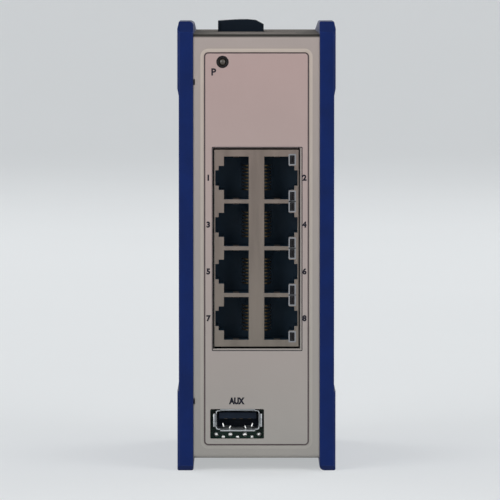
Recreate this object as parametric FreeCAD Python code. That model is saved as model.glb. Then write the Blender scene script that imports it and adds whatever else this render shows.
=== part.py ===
import FreeCAD, Part
import math
import os

from FreeCAD import Vector

os.makedirs("parts", exist_ok=True)

# An eight-port network switch for a 35 mm rail, one solid for each real piece.
# X runs across the case, Y from its front to its back, and Z up. The case stands on the lower
# ends of its two side covers at Z = 0. X = 0, Y = 0 is the middle of its bounding box.

# ---------------------------------------------------------------------------------------------
# Driving dimensions, in millimetres
# ---------------------------------------------------------------------------------------------

# Envelope
overall_width = 47.2
overall_height = 134.0
overall_depth = 117.0
clip_depth = 7.5

# Sheet-metal case
sheet = 0.8
bend_radius = 1.2
panel_width = 37.6
panel_set_back = 0.5
end_inset = 3.75

# Side covers
cover_skin = 2.0
cover_rim = 2.4
cover_recess = 0.45
recess_below = 23.8
recess_above = 22.1
recess_slope = 2.3
nose_height = 3.15
nose_depth = 3.5
toe = 1.6
flange_level = 33.0
lug_below = 20.8
lug_above = 18.0
front_lug_inset = 16.0
back_lug_inset = 17.0

# Network sockets: two columns of four, laid on their sides with the latches outboard
port_pitch = 13.97
port_rows = 4
jack_middle_offset = 0.52
jack_width = 25.04
jack_end_margin = 1.41
jack_depth = 27.0
jack_set_back = 0.3
jack_skin = 0.25
mouth_inner = 2.3
mouth_outer = 9.7
mouth_height = 12.8
latch_steps = ((11.3, 7.2), (12.3, 4.6))
cavity_depth = 13.5
contact_pitch = 1.02
contacts_per_port = 8
light_middle_x = 10.65
light_width = 1.4
light_height = 2.6
light_offset = 5.45

# Front panel openings
window_side_gap = 0.48
window_end_gap = 0.6
usb_window = ((-13.8, 2.25), (9.6, 18.45))
lamp_x = -10.1
lamp_below_top = 8.25
lamp_hole = 3.7

# Label
label_width = 31.3
label_below = 3.85
label_above = 5.35
label_corner = 1.3
label_thickness = 0.25
label_relief = 0.4

# USB socket
usb_x = -5.62
usb_z = 15.05
usb_mouth = (12.5, 5.3)
usb_flare = (14.6, 6.6)
usb_depth = 14.0
usb_skin = 0.3

# Main circuit board, standing on edge beside the sockets
board_thickness = 1.6
board_front_gap = 5.2
board_back_gap = 9.0
board_end_gap = 3.25

# Power plug: three poles in a row from front to back
pole_pitch = 5.08
poles = 3
plug_left = -11.7
plug_right = 2.35
plug_front_setting = 57.0
header_drop = 10.25
header_length = 12.0

# Rail clip
rail_height = 35.0
rail_lip = 1.0
clip_plate = 1.5

# Clearances
slide_gap = 0.3
loose_gap = 0.4
thread_gap = 0.05

# M3 screws
screw_radius = 1.45
tapped_radius = screw_radius + thread_gap
passing_radius = 1.6
screw_head_radius = 2.6
screw_head_height = 1.6
screw_length = 5.0

# ---------------------------------------------------------------------------------------------
# Positions that follow from them
# ---------------------------------------------------------------------------------------------

cover_front = -overall_depth / 2
clip_back = overall_depth / 2
case_back = clip_back - clip_depth
panel_front = cover_front + panel_set_back
panel_back = panel_front + sheet
half_panel = panel_width / 2
half_width = overall_width / 2
case_bottom = end_inset
case_top = overall_height - end_inset
lug_heights = (lug_below, overall_height - lug_above)
lug_depths = (panel_front + front_lug_inset, case_back - back_lug_inset)

jack_front = panel_front + jack_set_back
jack_back = jack_front + jack_depth
jack_middle = overall_height / 2 - jack_middle_offset
jack_height = port_rows * port_pitch + 2 * jack_end_margin
jack_low = jack_middle - jack_height / 2
jack_high = jack_middle + jack_height / 2
half_jack = jack_width / 2
port_centres = [jack_middle + port_pitch * (row - (port_rows - 1) / 2) for row in range(port_rows)]

board_face = -half_jack - 0.08
board_rear_face = board_face - board_thickness
chassis_inside = half_panel - sheet
board_front = panel_back + board_front_gap
board_back = case_back - board_back_gap
board_low = case_bottom + board_end_gap
board_high = case_top - board_end_gap

port_window_width = jack_width + 2 * window_side_gap
port_window_height = jack_height + 2 * window_end_gap
lamp_z = case_top - lamp_below_top
label_span = (case_bottom + label_below, case_top - label_above)

plug_front = cover_front + plug_front_setting
plug_back = plug_front + poles * pole_pitch
header_top = case_top - header_drop
header_low = header_top - header_length
pole_centres = [plug_front + pole_pitch * (pole + 0.5) for pole in range(poles)]

rail_middle = overall_height / 2
upper_lip = rail_middle + rail_height / 2
lower_lip = rail_middle - rail_height / 2
latch_face = case_back + slide_gap
latch_back = latch_face + clip_plate
web_face = latch_back + slide_gap
web_back = web_face + clip_plate
hook_face = web_back + rail_lip + slide_gap
hook_back = hook_face + clip_plate

AXES = {"X": Vector(1, 0, 0), "Y": Vector(0, 1, 0), "Z": Vector(0, 0, 1)}

# ---------------------------------------------------------------------------------------------
# Shape helpers
# ---------------------------------------------------------------------------------------------


def centred(middle, size):
    """The two limits of a size laid evenly about its middle."""
    return (middle - size / 2, middle + size / 2)


def box(x, y, z):
    """A block between two limits along each axis."""
    return Part.makeBox(x[1] - x[0], y[1] - y[0], z[1] - z[0], Vector(x[0], y[0], z[0]))


def rod(radius, start, end):
    """A round bar from one point to another."""
    run = Vector(*end) - Vector(*start)
    return Part.makeCylinder(radius, run.Length, Vector(*start), run)


def taper(start_radius, end_radius, start, end):
    """A round bar whose radius changes evenly from one end to the other."""
    run = Vector(*end) - Vector(*start)
    return Part.makeCone(start_radius, end_radius, run.Length, Vector(*start), run)


def on_plane(axis, level, u, v):
    """A point at a level along one axis, u and v being the other two in X, Y, Z order."""
    return {"X": Vector(level, u, v), "Y": Vector(u, level, v), "Z": Vector(u, v, level)}[axis]


def rounded_edges(corners):
    """The edges of a closed outline, each corner rounded to the radius it is given with."""
    ends = []
    edges = []
    for index, (point, radius) in enumerate(corners):
        to_last = (corners[index - 1][0] - point).normalize()
        to_next = (corners[(index + 1) % len(corners)][0] - point).normalize()
        half_turn = to_last.getAngle(to_next) / 2
        setback = radius / math.tan(half_turn)
        first = point + to_last * setback
        last = point + to_next * setback
        if radius:
            inward = (to_last + to_next).normalize()
            middle = point + inward * (radius / math.sin(half_turn) - radius)
            edges.append(Part.Arc(first, middle, last).toShape())
        ends.append((first, last))
    for index, (first, last) in enumerate(ends):
        following = ends[(index + 1) % len(ends)][0]
        if last.distanceToPoint(following) > 1e-6:
            edges.append(Part.makeLine(last, following))
    return edges


def prism(outline, axis, span):
    """An outline made solid along an axis. Each corner is (u, v), or (u, v, radius)."""
    corners = []
    for corner in outline:
        radius = corner[2] if len(corner) > 2 else 0
        corners.append((on_plane(axis, span[0], corner[0], corner[1]), radius))
    wire = Part.Wire(Part.__sortEdges__(rounded_edges(corners)))
    return Part.Face(wire).extrude(AXES[axis] * (span[1] - span[0]))


def rounded_plate(u, v, radius, axis, span):
    """A flat rectangular plate with its four corners rounded."""
    corners = [(u[0], v[0], radius), (u[1], v[0], radius), (u[1], v[1], radius), (u[0], v[1], radius)]
    return prism(corners, axis, span)


def hexagon(across_flats, axis, span, u, v):
    """A six-sided bar along an axis, centred at u, v."""
    corner = across_flats / math.sqrt(3)
    outline = []
    for index in range(6):
        turn = math.pi / 3 * index
        outline.append((u + corner * math.cos(turn), v + corner * math.sin(turn)))
    return prism(outline, axis, span)


def joined(shapes):
    """Several touching or overlapping shapes as one solid."""
    return shapes[0].multiFuse(shapes[1:]).removeSplitter()


def mirrored(shape):
    """The same shape on the other side of the case."""
    return shape.mirror(Vector(0, 0, 0), AXES["X"])


def save(node, shapes):
    """Write one sub-part, which may be a group of separate solids."""
    if isinstance(shapes, list):
        shapes = Part.makeCompound(shapes)
    shapes.exportStep("parts/" + node + ".step")


# ---------------------------------------------------------------------------------------------
# Case: front, top and bottom are one folded sheet, and sides and back are another
# ---------------------------------------------------------------------------------------------

case_screw_y = case_back - 5.5
case_screw_head = 2.5
tab_half_width = 11.0
tab_length = 9.0
ends = (-1, 1)


def end_wall(end):
    """The outer level of the bottom wall (end -1) or the top wall (end 1)."""
    return case_top if end > 0 else case_bottom


def case_screw(end):
    """A countersunk screw through one end wall into the tab behind it."""
    surface = (0, case_screw_y, end_wall(end))
    under_head = (0, case_screw_y, end_wall(end) - end * sheet)
    tip = (0, case_screw_y, end_wall(end) - end * 5.0)
    return joined([taper(case_screw_head, screw_radius, surface, under_head),
                   rod(screw_radius, under_head, tip)])


def case_screw_sink(end):
    """The countersink in the end wall."""
    surface = (0, case_screw_y, end_wall(end))
    under_head = (0, case_screw_y, end_wall(end) - end * sheet)
    return taper(case_screw_head + thread_gap, tapped_radius, surface, under_head)


def case_screw_bore(end):
    """The tapped hole in the tab."""
    level = end_wall(end)
    return rod(tapped_radius, (0, case_screw_y, level), (0, case_screw_y, level - end * 3.0))


def folded_block(inset, radius):
    """A block as deep as the case, its two front edges bent to a radius."""
    low = case_bottom + inset
    high = case_top - inset
    front = panel_front + inset
    outline = [(front, low, radius), (case_back, low), (case_back, high), (front, high, radius)]
    return prism(outline, "X", (-half_panel, half_panel))


vent_length = 24.0
vent_width = 2.5
vent_pitch = 8.0
front_vent_inset = 14.0
back_vent_inset = 14.0


def vent_row(first, last, wall):
    """As many slots across a level wall as fit between two depths."""
    slots = []
    for index in range(int((last - first) / vent_pitch) + 1):
        depth = first + index * vent_pitch
        slots.append(box(centred(0, vent_length), centred(depth, vent_width), wall))
    return slots


def front_shell():
    """Front panel, top wall and bottom wall, folded from one sheet."""
    shell = folded_block(0, bend_radius).cut(folded_block(sheet, bend_radius - sheet))
    through = (panel_front - 1, panel_back + 1)
    port_window = box(centred(0, port_window_width), through,
                      centred(jack_middle, port_window_height))
    usb_hole = rounded_plate(usb_window[0], usb_window[1], 0.4, "Y", through)
    lamp = rod(lamp_hole / 2, (lamp_x, through[0], lamp_z), (lamp_x, through[1], lamp_z))
    plug_hole = rounded_plate((plug_left - loose_gap, plug_right + loose_gap),
                              (plug_front - loose_gap, plug_back + loose_gap),
                              0.6, "Z", (case_top - 2, case_top + 1))
    openings = [port_window, usb_hole, lamp, plug_hole]
    top_wall = (case_top - 2, case_top + 1)
    bottom_wall = (case_bottom - 1, case_bottom + 2)
    first_vent = panel_front + front_vent_inset
    last_vent = case_back - back_vent_inset
    openings += vent_row(first_vent, plug_front - vent_pitch, top_wall)
    openings += vent_row(plug_back + vent_pitch, last_vent, top_wall)
    openings += vent_row(first_vent, last_vent, bottom_wall)
    # Two nicks in the left edge of the panel, where a blade frees the lugs of that cover
    for height in lug_heights:
        openings.append(box((-half_panel - 1, -half_panel + 0.5), through, centred(height, 1.8)))
    openings += [case_screw_sink(end) for end in ends]
    return shell.cut(openings)


def chassis_tab(end):
    """A tab turned forward from the back wall, under the top or bottom wall."""
    level = end_wall(end) - end * sheet
    wall = (case_back - sheet, case_back)
    root = level - end * 6.0
    outline = [(wall[1], root), (wall[1], level, bend_radius), (wall[1] - tab_length, level),
               (wall[1] - tab_length, level - end * sheet),
               (wall[0], level - end * sheet, bend_radius - sheet), (wall[0], root)]
    return prism(outline, "X", (-tab_half_width, tab_half_width))


bracket_screw_x = 14.25
bracket_screw_height = lower_lip + 6.5


def rear_chassis():
    """Both side walls and the back wall, folded from one sheet, with a tab above and below."""
    low = case_bottom + sheet
    high = case_top - sheet
    front = panel_back + 0.5
    outer = [(-half_panel, front), (half_panel, front),
             (half_panel, case_back, bend_radius), (-half_panel, case_back, bend_radius)]
    inner_radius = bend_radius - sheet
    inner = [(-chassis_inside, front - 1), (chassis_inside, front - 1),
             (chassis_inside, case_back - sheet, inner_radius),
             (-chassis_inside, case_back - sheet, inner_radius)]
    walls = prism(outer, "Z", (low, high)).cut(prism(inner, "Z", (low - 1, high + 1)))
    relief = tab_half_width + 0.8
    for end, edge in ((-1, low), (1, high)):
        band = (edge - 4, edge + 4)
        walls = walls.cut(box((-relief, relief), (case_back - 2, case_back + 1), band))
    shape = joined([walls, chassis_tab(-1), chassis_tab(1)])
    holes = [case_screw_bore(end) for end in ends]
    for x in (-bracket_screw_x, bracket_screw_x):
        start = (x, case_back - 3, bracket_screw_height)
        holes.append(rod(tapped_radius, start, (x, case_back + 1, bracket_screw_height)))
    for depth in lug_depths:
        for height in lug_heights:
            slot = box((chassis_inside - 1, half_panel + 1), centred(depth, lug_width + loose_gap),
                       (height - lug_thickness / 2 - 0.2, height + lug_thickness / 2 + lug_catch + 0.2))
            holes += [slot, mirrored(slot)]
    return shape.cut(holes)


# ---------------------------------------------------------------------------------------------
# Side covers: shallow moulded trays that clip to the chassis and stand proud of it at both ends
# ---------------------------------------------------------------------------------------------

cover_ribs = 4
lug_width = 6.0
lug_thickness = 2.0
lug_catch = 0.7
lug_reach = 2.4


def cover_lug(depth, height):
    """A snap hook that passes through the side wall and catches its inner face."""
    low = height - lug_thickness / 2
    high = height + lug_thickness / 2
    catch = chassis_inside - 0.1
    tip = chassis_inside - lug_reach
    outline = [(half_panel + 0.5, low), (half_panel + 0.5, high), (catch, high),
               (catch, high + lug_catch), (tip + 0.6, high), (tip, low)]
    return prism(outline, "Y", centred(depth, lug_width))


def cover(top_inner_radius, bottom_inner_radius):
    """The right-hand cover: the solid that three outlines share, hollowed from its inner side."""
    side_view = [(cover_front + toe, 0), (case_back - 3, 0), (case_back, 3), (case_back, case_top),
                 (cover_front + flange_level, overall_height), (cover_front + nose_depth, overall_height),
                 (cover_front, overall_height - nose_height), (cover_front, toe)]
    field = half_width - cover_recess
    front_view = [(half_panel, 0, bottom_inner_radius), (half_width, 0, 0.5), (half_width, recess_below),
                  (field, recess_below), (field, overall_height - recess_above),
                  (half_width, overall_height - recess_above + recess_slope),
                  (half_width, overall_height - 2.2), (half_width - 0.5, overall_height, 0.3),
                  (half_panel, overall_height, top_inner_radius)]
    top_view = [(half_panel, cover_front, 0.4), (half_width, cover_front, 0.9),
                (half_width, case_back, 0.9), (half_panel, case_back)]
    blank = prism(side_view, "X", (half_panel, half_width))
    blank = blank.common(prism(front_view, "Y", (cover_front, case_back)))
    blank = blank.common(prism(top_view, "Z", (0, overall_height)))
    bay_limits = [case_bottom + cover_rim]
    rib_step = (lug_heights[1] - lug_heights[0]) / (cover_ribs - 1)
    for rib in range(cover_ribs):
        height = lug_heights[0] + rib * rib_step
        bay_limits += [height - lug_thickness / 2, height + lug_thickness / 2]
    bay_limits.append(case_top - cover_rim)
    bays = []
    for low, high in zip(bay_limits[0::2], bay_limits[1::2]):
        bays.append(box((half_panel - 1, half_width - cover_skin - cover_recess),
                        (cover_front + cover_rim, case_back - cover_rim), (low, high)))
    lugs = [cover_lug(depth, height) for depth in lug_depths for height in lug_heights]
    return joined([blank.cut(bays)] + lugs)


# ---------------------------------------------------------------------------------------------
# Label on the front panel
# ---------------------------------------------------------------------------------------------


def label_foil():
    """A thin printed foil with openings for the sockets and the lamp."""
    face = (panel_front - label_thickness, panel_front)
    through = (face[0] - 1, face[1] + 1)
    foil = rounded_plate(centred(0, label_width), label_span, label_corner, "Y", face)
    half_window = port_window_width / 2
    ports = box((-half_window, half_window + label_relief), through,
                (jack_middle - port_window_height / 2 - label_relief, jack_middle + port_window_height / 2))
    usb_hole = rounded_plate(usb_window[0], usb_window[1], 0.4, "Y", through)
    lamp = rod(lamp_hole / 2, (lamp_x, through[0], lamp_z), (lamp_x, through[1], lamp_z))
    return foil.cut([ports, usb_hole, lamp])


# ---------------------------------------------------------------------------------------------
# Network socket block
# ---------------------------------------------------------------------------------------------


def mouth_outline(side, centre):
    """The stepped opening of one socket: a plug-sized mouth and two latch steps outboard."""
    half = mouth_height / 2
    upper = [(mouth_inner, half), (mouth_outer, half)]
    last = mouth_outer
    for reach, height in latch_steps:
        upper += [(last, height / 2), (reach, height / 2)]
        last = reach
    lower = [(x, -z) for x, z in reversed(upper)]
    return [(side * x, centre + z) for x, z in upper + lower]


def each_port():
    """The side and height of every socket, row by row from the bottom."""
    return [(side, centre) for centre in port_centres for side in (-1, 1)]


def light_heights():
    """The heights of the light windows, two beside each socket of the right-hand column."""
    return [centre + end * light_offset for centre in port_centres for end in (-1, 1)]


def spring_dimple(side, edge, direction):
    """A small grounding spring that bows into a mouth from one of its long edges."""
    outline = [(jack_front, edge), (jack_front + 1.6, edge - direction * 0.35), (jack_front + 4.0, edge)]
    return prism(outline, "X", centred(side * 6.1, 1.8))


peg_depths = (jack_front + 7.0, jack_back - 4.0)
peg_width = 1.2
peg_reach = 0.8


def jack_shield():
    """The tinned screen round the socket block, open towards the circuit board."""
    outer = box((-half_jack, half_jack), (jack_front, jack_back), (jack_low, jack_high))
    inner = box((-half_jack - 1, half_jack - jack_skin), (jack_front + jack_skin, jack_back - jack_skin),
                (jack_low + jack_skin, jack_high - jack_skin))
    shell = outer.cut(inner)
    through = (jack_front - 1, jack_front + 1)
    openings = [prism(mouth_outline(side, centre), "Y", through) for side, centre in each_port()]
    for height in light_heights():
        openings.append(box(centred(light_middle_x, light_width), through, centred(height, light_height)))
    extras = []
    for side, centre in each_port():
        for direction in (-1, 1):
            extras.append(spring_dimple(side, centre + direction * mouth_height / 2, direction))
    for depth in peg_depths:
        for wall in ((jack_low, jack_low + jack_skin), (jack_high - jack_skin, jack_high)):
            extras.append(box((board_rear_face - peg_reach, -half_jack), centred(depth, peg_width), wall))
    return joined([shell.cut(openings)] + extras)


def jack_housing():
    """The moulded block with a cavity for each plug and pockets for the lights."""
    block = box((board_face, half_jack - jack_skin), (jack_front + jack_skin, jack_back - jack_skin),
                (jack_low + jack_skin, jack_high - jack_skin))
    reach = (jack_front, jack_front + cavity_depth)
    hollows = [prism(mouth_outline(side, centre), "Y", reach) for side, centre in each_port()]
    for height in light_heights():
        hollows.append(box(centred(light_middle_x, light_width), (jack_front, jack_front + 1.6),
                           centred(height, light_height)))
    return block.cut(hollows)


def port_lights():
    """The small windows of the link lights, one solid each."""
    lights = []
    for height in light_heights():
        lights.append(box(centred(light_middle_x, light_width),
                          (jack_front + 0.1, jack_front + 1.6), centred(height, light_height)))
    return lights


def jack_contacts():
    """Eight sprung wires in every socket, sloping up from the wall beside the middle bar."""
    front = jack_front + 2.0
    wires = []
    for side, centre in each_port():
        outline = [(side * mouth_inner, front), (side * mouth_inner, front + 0.9),
                   (side * (mouth_inner + 1.9), front + 8.0), (side * (mouth_inner + 1.9), front + 7.2)]
        for index in range(contacts_per_port):
            height = centre + contact_pitch * (index - (contacts_per_port - 1) / 2)
            wires.append(prism(outline, "Z", centred(height, 0.4)))
    return wires


# ---------------------------------------------------------------------------------------------
# USB socket and the small board that carries it
# ---------------------------------------------------------------------------------------------

usb_front = panel_front + 0.45
usb_board_front = panel_back + 2.6
usb_board_thickness = 1.2
usb_flare_depth = 1.1
usb_board_x = (-15.6, 5.0)
usb_board_z = (case_bottom + 2.85, jack_low - 3.13)
link_pitch = 2.54
link_low = usb_z + usb_mouth[1] / 2 + usb_skin + 2.4
link_pins = int((jack_low - 4.0 - link_low) / link_pitch)
link_z = (link_low, link_low + link_pins * link_pitch)


def usb_shell():
    """A folded tube with a flared lip on each side of its mouth and two springs in its floor."""
    inner = [centred(usb_x, usb_mouth[0]), centred(usb_z, usb_mouth[1])]
    outer = [centred(usb_x, usb_mouth[0] + 2 * usb_skin), centred(usb_z, usb_mouth[1] + 2 * usb_skin)]
    start = usb_front + usb_flare_depth
    end = usb_front + usb_depth
    tube = rounded_plate(outer[0], outer[1], 0.8, "Y", (start, end))
    bore = rounded_plate(inner[0], inner[1], 0.5, "Y", (start - 1, end - usb_skin))
    windows = []
    springs = []
    for offset in (-3.2, 3.2):
        span = centred(usb_x + offset, 2.2)
        floor = outer[1][0]
        windows.append(box(centred(usb_x + offset, 3.0), (start + 1.5, start + 8.0),
                           (floor - 1, inner[1][0] + 0.05)))
        leaf = [(start + 1.5, floor), (start + 1.5, floor + usb_skin), (start + 5.0, floor + 0.9),
                (start + 7.0, floor + 0.3), (start + 7.0, floor + 0.0), (start + 5.0, floor + 0.6)]
        springs.append(prism(leaf, "X", span))
    lips = []
    for low, high, way in ((0, 0, -1), (1, 1, 1)):
        edge = inner[1][low]
        rim = centred(usb_z, usb_flare[1])[high]
        lip = [(start + usb_skin, edge), (start + usb_skin, edge + way * usb_skin), (start, edge + way * usb_skin),
               (usb_front, rim), (usb_front, rim - way * usb_skin), (start, edge)]
        lips.append(prism(lip, "X", centred(usb_x, 10.4)))
        edge = inner[0][low]
        rim = centred(usb_x, usb_flare[0])[high]
        lip = [(edge, start + usb_skin), (edge + way * usb_skin, start + usb_skin), (edge + way * usb_skin, start),
               (rim, usb_front), (rim - way * usb_skin, usb_front), (edge, start)]
        lips.append(prism(lip, "Z", centred(usb_z, 3.9)))
    return joined([tube.cut([bore] + windows)] + springs + lips)


tongue_z = (usb_z + 0.35, usb_z + 2.15)
tongue_width = 11.1
usb_contact_offsets = (-3.5, -1.0, 1.0, 3.5)


def usb_insulator():
    """The tongue that carries the contacts, on a block that closes the back of the tube."""
    inner = [centred(usb_x, usb_mouth[0]), centred(usb_z, usb_mouth[1])]
    back = usb_front + usb_depth - usb_skin
    block = rounded_plate(inner[0], inner[1], 0.5, "Y", (back - 3.0, back))
    tongue = box(centred(usb_x, tongue_width), (usb_front + 2.2, back), tongue_z)
    return joined([block, tongue])


def usb_contacts():
    """Four strips on the underside of the tongue."""
    strips = []
    start = usb_front + 3.0
    end = usb_front + usb_depth - usb_skin - 3.0
    for offset in usb_contact_offsets:
        strips.append(box(centred(usb_x + offset, 1.0), (start, end), (tongue_z[0] - 0.15, tongue_z[0])))
    return strips


def usb_board():
    """A small board parallel to the front panel, with the socket passing through it."""
    span = (usb_board_front, usb_board_front + usb_board_thickness)
    board = box(usb_board_x, span, usb_board_z)
    through = (span[0] - 1, span[1] + 1)
    hole = box(centred(usb_x, usb_mouth[0] + 2 * usb_skin), through, centred(usb_z, usb_mouth[1] + 2 * usb_skin))
    return board.cut(hole)


solder_pitch = 4.3
solder_count = 4
solder_height = 10.9
solder_stagger = 0.8


def solder_joints():
    """Two staggered rows of soldered pins under the socket, on the front of the small board."""
    joints = []
    span = (usb_board_front - 0.5, usb_board_front)
    for row in range(2):
        count = solder_count - row
        for index in range(count):
            x = usb_x + solder_pitch * (index - (count - 1) / 2)
            joints.append(hexagon(1.0, "Y", span, x, solder_height - row * solder_stagger))
    return joints


def usb_link():
    """The angled pin strip that joins the small board to the main board."""
    back = usb_board_front + usb_board_thickness
    strip = box((board_face, board_face + 2.5), (back, back + 2.5), link_z)
    pins = []
    for index in range(link_pins):
        height = link_z[0] + link_pitch * (index + 0.5)
        outline = [(board_rear_face - 0.8, back + 4.4), (board_rear_face - 0.8, back + 5.0),
                   (board_face + 1.6, back + 5.0), (board_face + 1.6, back + 2.5),
                   (board_face + 1.0, back + 2.5), (board_face + 1.0, back + 4.4)]
        pins.append(prism(outline, "Z", centred(height, 0.6)))
    return joined([strip] + pins)


def link_pin_holes():
    """The slot in the main board for that strip's pins."""
    back = usb_board_front + usb_board_thickness
    return box((board_rear_face - 1, board_face + 1), (back + 4.3, back + 5.1), (link_z[0] + 0.8, link_z[1] - 0.8))


# ---------------------------------------------------------------------------------------------
# Status lamp
# ---------------------------------------------------------------------------------------------

lamp_radius = 1.15


def lamp_holder():
    """A moulded elbow on the main board whose nose fills the hole in the panel."""
    block = box((board_face, board_face + 5.0), (board_front + 0.6, board_front + 7.0),
                centred(lamp_z, 5.0))
    nose = rod(lamp_hole / 2 - 0.1, (lamp_x, panel_front - 0.05, lamp_z), (lamp_x, board_front + 0.6, lamp_z))
    bore = rod(lamp_radius + thread_gap, (lamp_x, panel_front - 1, lamp_z), (lamp_x, board_front + 4.0, lamp_z))
    return joined([block, nose]).cut(bore)


def status_lamp():
    """A light guide with a domed end, seen in the middle of the holder's nose."""
    dome_start = panel_front + 0.55
    body = rod(lamp_radius, (lamp_x, dome_start, lamp_z), (lamp_x, board_front + 4.0, lamp_z))
    dome = taper(lamp_radius, lamp_radius * 0.5, (lamp_x, dome_start, lamp_z), (lamp_x, dome_start - 0.4, lamp_z))
    return joined([body, dome])


# ---------------------------------------------------------------------------------------------
# Main board and what stands on it
# ---------------------------------------------------------------------------------------------

board_screw_places = ((board_front + 12.0, board_high - 19.0), (board_back - 5.0, board_low + 5.0),
                      (board_back - 5.0, board_high - 4.5))
pin_size = 1.0
pin_x = -8.0
pin_bend_z = header_low + 1.0


def main_board():
    """The circuit board, drilled for its screws, pins and pegs."""
    board = box((board_rear_face, board_face), (board_front, board_back), (board_low, board_high))
    through = (board_rear_face - 1, board_face + 1)
    holes = [rod(passing_radius, (through[0], y, z), (through[1], y, z)) for y, z in board_screw_places]
    for depth in peg_depths:
        for height in (jack_low + jack_skin / 2, jack_high - jack_skin / 2):
            holes.append(box(through, centred(depth, peg_width + 0.4), centred(height, jack_skin + 0.4)))
    for depth in pole_centres:
        holes.append(box(through, centred(depth, pin_size + 0.2), centred(pin_bend_z + pin_size / 2, 1.2)))
    holes.append(link_pin_holes())
    return board.cut(holes)


def board_standoffs():
    """Tapped hexagonal spacers between the left side wall and the board."""
    spacers = []
    for y, z in board_screw_places:
        spacer = hexagon(5.0, "X", (-chassis_inside, board_rear_face), y, z)
        bore = rod(tapped_radius, (-chassis_inside - 1, y, z), (board_rear_face + 1, y, z))
        spacers.append(spacer.cut(bore))
    return spacers


def on_board(y, z, height):
    """A block that stands on the board between two limits along Y and Z."""
    return box((board_face, board_face + height), y, z)


chip_middle = (jack_back + 32.7, jack_middle - 4.48)
chip_size = 17.0
chip_height = 1.4
sink_size = 23.0
sink_base = 2.0
fin_count = 7
fin_thickness = 1.4
fin_height = 8.0


def switch_chip():
    """The large switching chip."""
    return on_board(centred(chip_middle[0], chip_size), centred(chip_middle[1], chip_size), chip_height)


def heat_sink():
    """A finned cooler on the chip, its fins upright so that air can rise between them."""
    base = (board_face + chip_height, board_face + chip_height + sink_base)
    span_y = centred(chip_middle[0], sink_size)
    span_z = centred(chip_middle[1], sink_size)
    parts = [box(base, span_y, span_z)]
    for index in range(fin_count):
        fin = span_y[0] + index * (sink_size - fin_thickness) / (fin_count - 1)
        parts.append(box((base[1], base[1] + fin_height), (fin, fin + fin_thickness), span_z))
    return joined(parts)


module_front = jack_back + 2.0
module_depth = 12.0
module_height = 6.0
module_spacing = 1.57


def transformers():
    """Four isolating transformer modules behind the sockets, one to each pair."""
    modules = []
    for centre in port_centres:
        height = centred(centre, port_pitch - module_spacing)
        modules.append(on_board((module_front, module_front + module_depth), height, module_height))
    return modules


capacitor_middle = (board_back - 18.0, board_high - 29.0)
capacitor_radius = 5.0
capacitor_length = 13.0


def capacitor():
    """The electrolytic capacitor of the power supply, upright on the board."""
    y, z = capacitor_middle
    return rod(capacitor_radius, (board_face, y, z), (board_face + capacitor_length, y, z))


coil_size = 12.0
coil_height = 6.0
coil_middle = (board_back - coil_size, chip_middle[1] + sink_size / 2 + 4.5)


def power_coil():
    """The shielded coil of the power supply."""
    return on_board(centred(coil_middle[0], coil_size), centred(coil_middle[1], coil_size), coil_height)


crystal_width = 5.0
crystal_length = 11.0
crystal_height = 3.5
crystal_middle = (chip_middle[0] + sink_size / 2 + 8.5, chip_middle[1] - 8.0)


def clock_crystal():
    """The metal can of the clock crystal."""
    width = centred(crystal_middle[0], crystal_width)
    return on_board(width, centred(crystal_middle[1], crystal_length), crystal_height)


memory_size = (8.0, 5.4)
memory_height = 1.8
memory_middle = (chip_middle[0] + 2.0, chip_middle[1] - 28.0)


def memory_chip():
    """The small memory chip below the switching chip."""
    width = centred(memory_middle[0], memory_size[0])
    return on_board(width, centred(memory_middle[1], memory_size[1]), memory_height)


# ---------------------------------------------------------------------------------------------
# Power header on the board and the plug that pulls out of the top of the case
# ---------------------------------------------------------------------------------------------

header_floor = header_low + 3.0
header_wall = 0.8
pin_tip = header_top - 1.0
nose_gap = 0.4
nose_x = (-11.4, -4.6)
plug_top = overall_height - 0.05
plug_seat = header_top + 0.1
screw_x = -1.6
chamber_x = (-10.4, 1.4)
chamber_z = (plug_top - 12.95, plug_top - 6.35)
chamber_width = 4.1
wire_entry = 3.6


def power_pins():
    """Three square pins, bent up from the board into the header."""
    pins = []
    low = pin_bend_z
    for depth in pole_centres:
        outline = [(board_rear_face - 1.2, low), (pin_x + pin_size / 2, low), (pin_x + pin_size / 2, pin_tip),
                   (pin_x - pin_size / 2, pin_tip), (pin_x - pin_size / 2, low + pin_size),
                   (board_rear_face - 1.2, low + pin_size)]
        pins.append(prism(outline, "Y", centred(depth, pin_size)))
    return pins


def power_header():
    """The open shroud that the plug's nose enters."""
    inner_x = (nose_x[0] - nose_gap, nose_x[1] + nose_gap)
    inner_y = (plug_front - nose_gap, plug_back + nose_gap)
    outer = box((board_face, inner_x[1] + header_wall), (inner_y[0] - header_wall, inner_y[1] + header_wall),
                (header_low, header_top))
    hollow = box(inner_x, inner_y, (header_floor, header_top + 1))
    return outer.cut([hollow] + power_pins())


def plug_body():
    """The plug: a nose for the header, and a head with a wire entry and a screw well per pole."""
    head_outline = [(plug_left, plug_seat), (plug_right, plug_seat), (plug_right, plug_top - 1.5),
                    (0.0, plug_top - 0.25), (-2.8, plug_top), (-5.0, plug_top), (plug_left, plug_top - 0.4)]
    head = prism(head_outline, "Y", (plug_front, plug_back))
    nose = box(nose_x, (plug_front, plug_back), (header_floor + nose_gap, plug_seat))
    body = joined([head, nose])
    cuts = []
    for depth in pole_centres:
        cuts.append(box((pin_x - 1.4, pin_x + 1.4), centred(depth, 2.8), (header_floor, chamber_z[0])))
        cuts.append(box(chamber_x, centred(depth, chamber_width), chamber_z))
        cuts.append(box(centred(pin_x, wire_entry), centred(depth, wire_entry), (chamber_z[1], plug_top + 1)))
        cuts.append(rod(2.15, (screw_x, depth, chamber_z[1]), (screw_x, depth, plug_top + 1)))
    # A guide groove down the front end, close to the outer edge
    cuts.append(box((plug_left + 0.6, plug_left + 0.95), (plug_front - 1, plug_front + 0.35),
                    (plug_seat - 1, plug_top - 1.0)))
    return body.cut(cuts)


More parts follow.
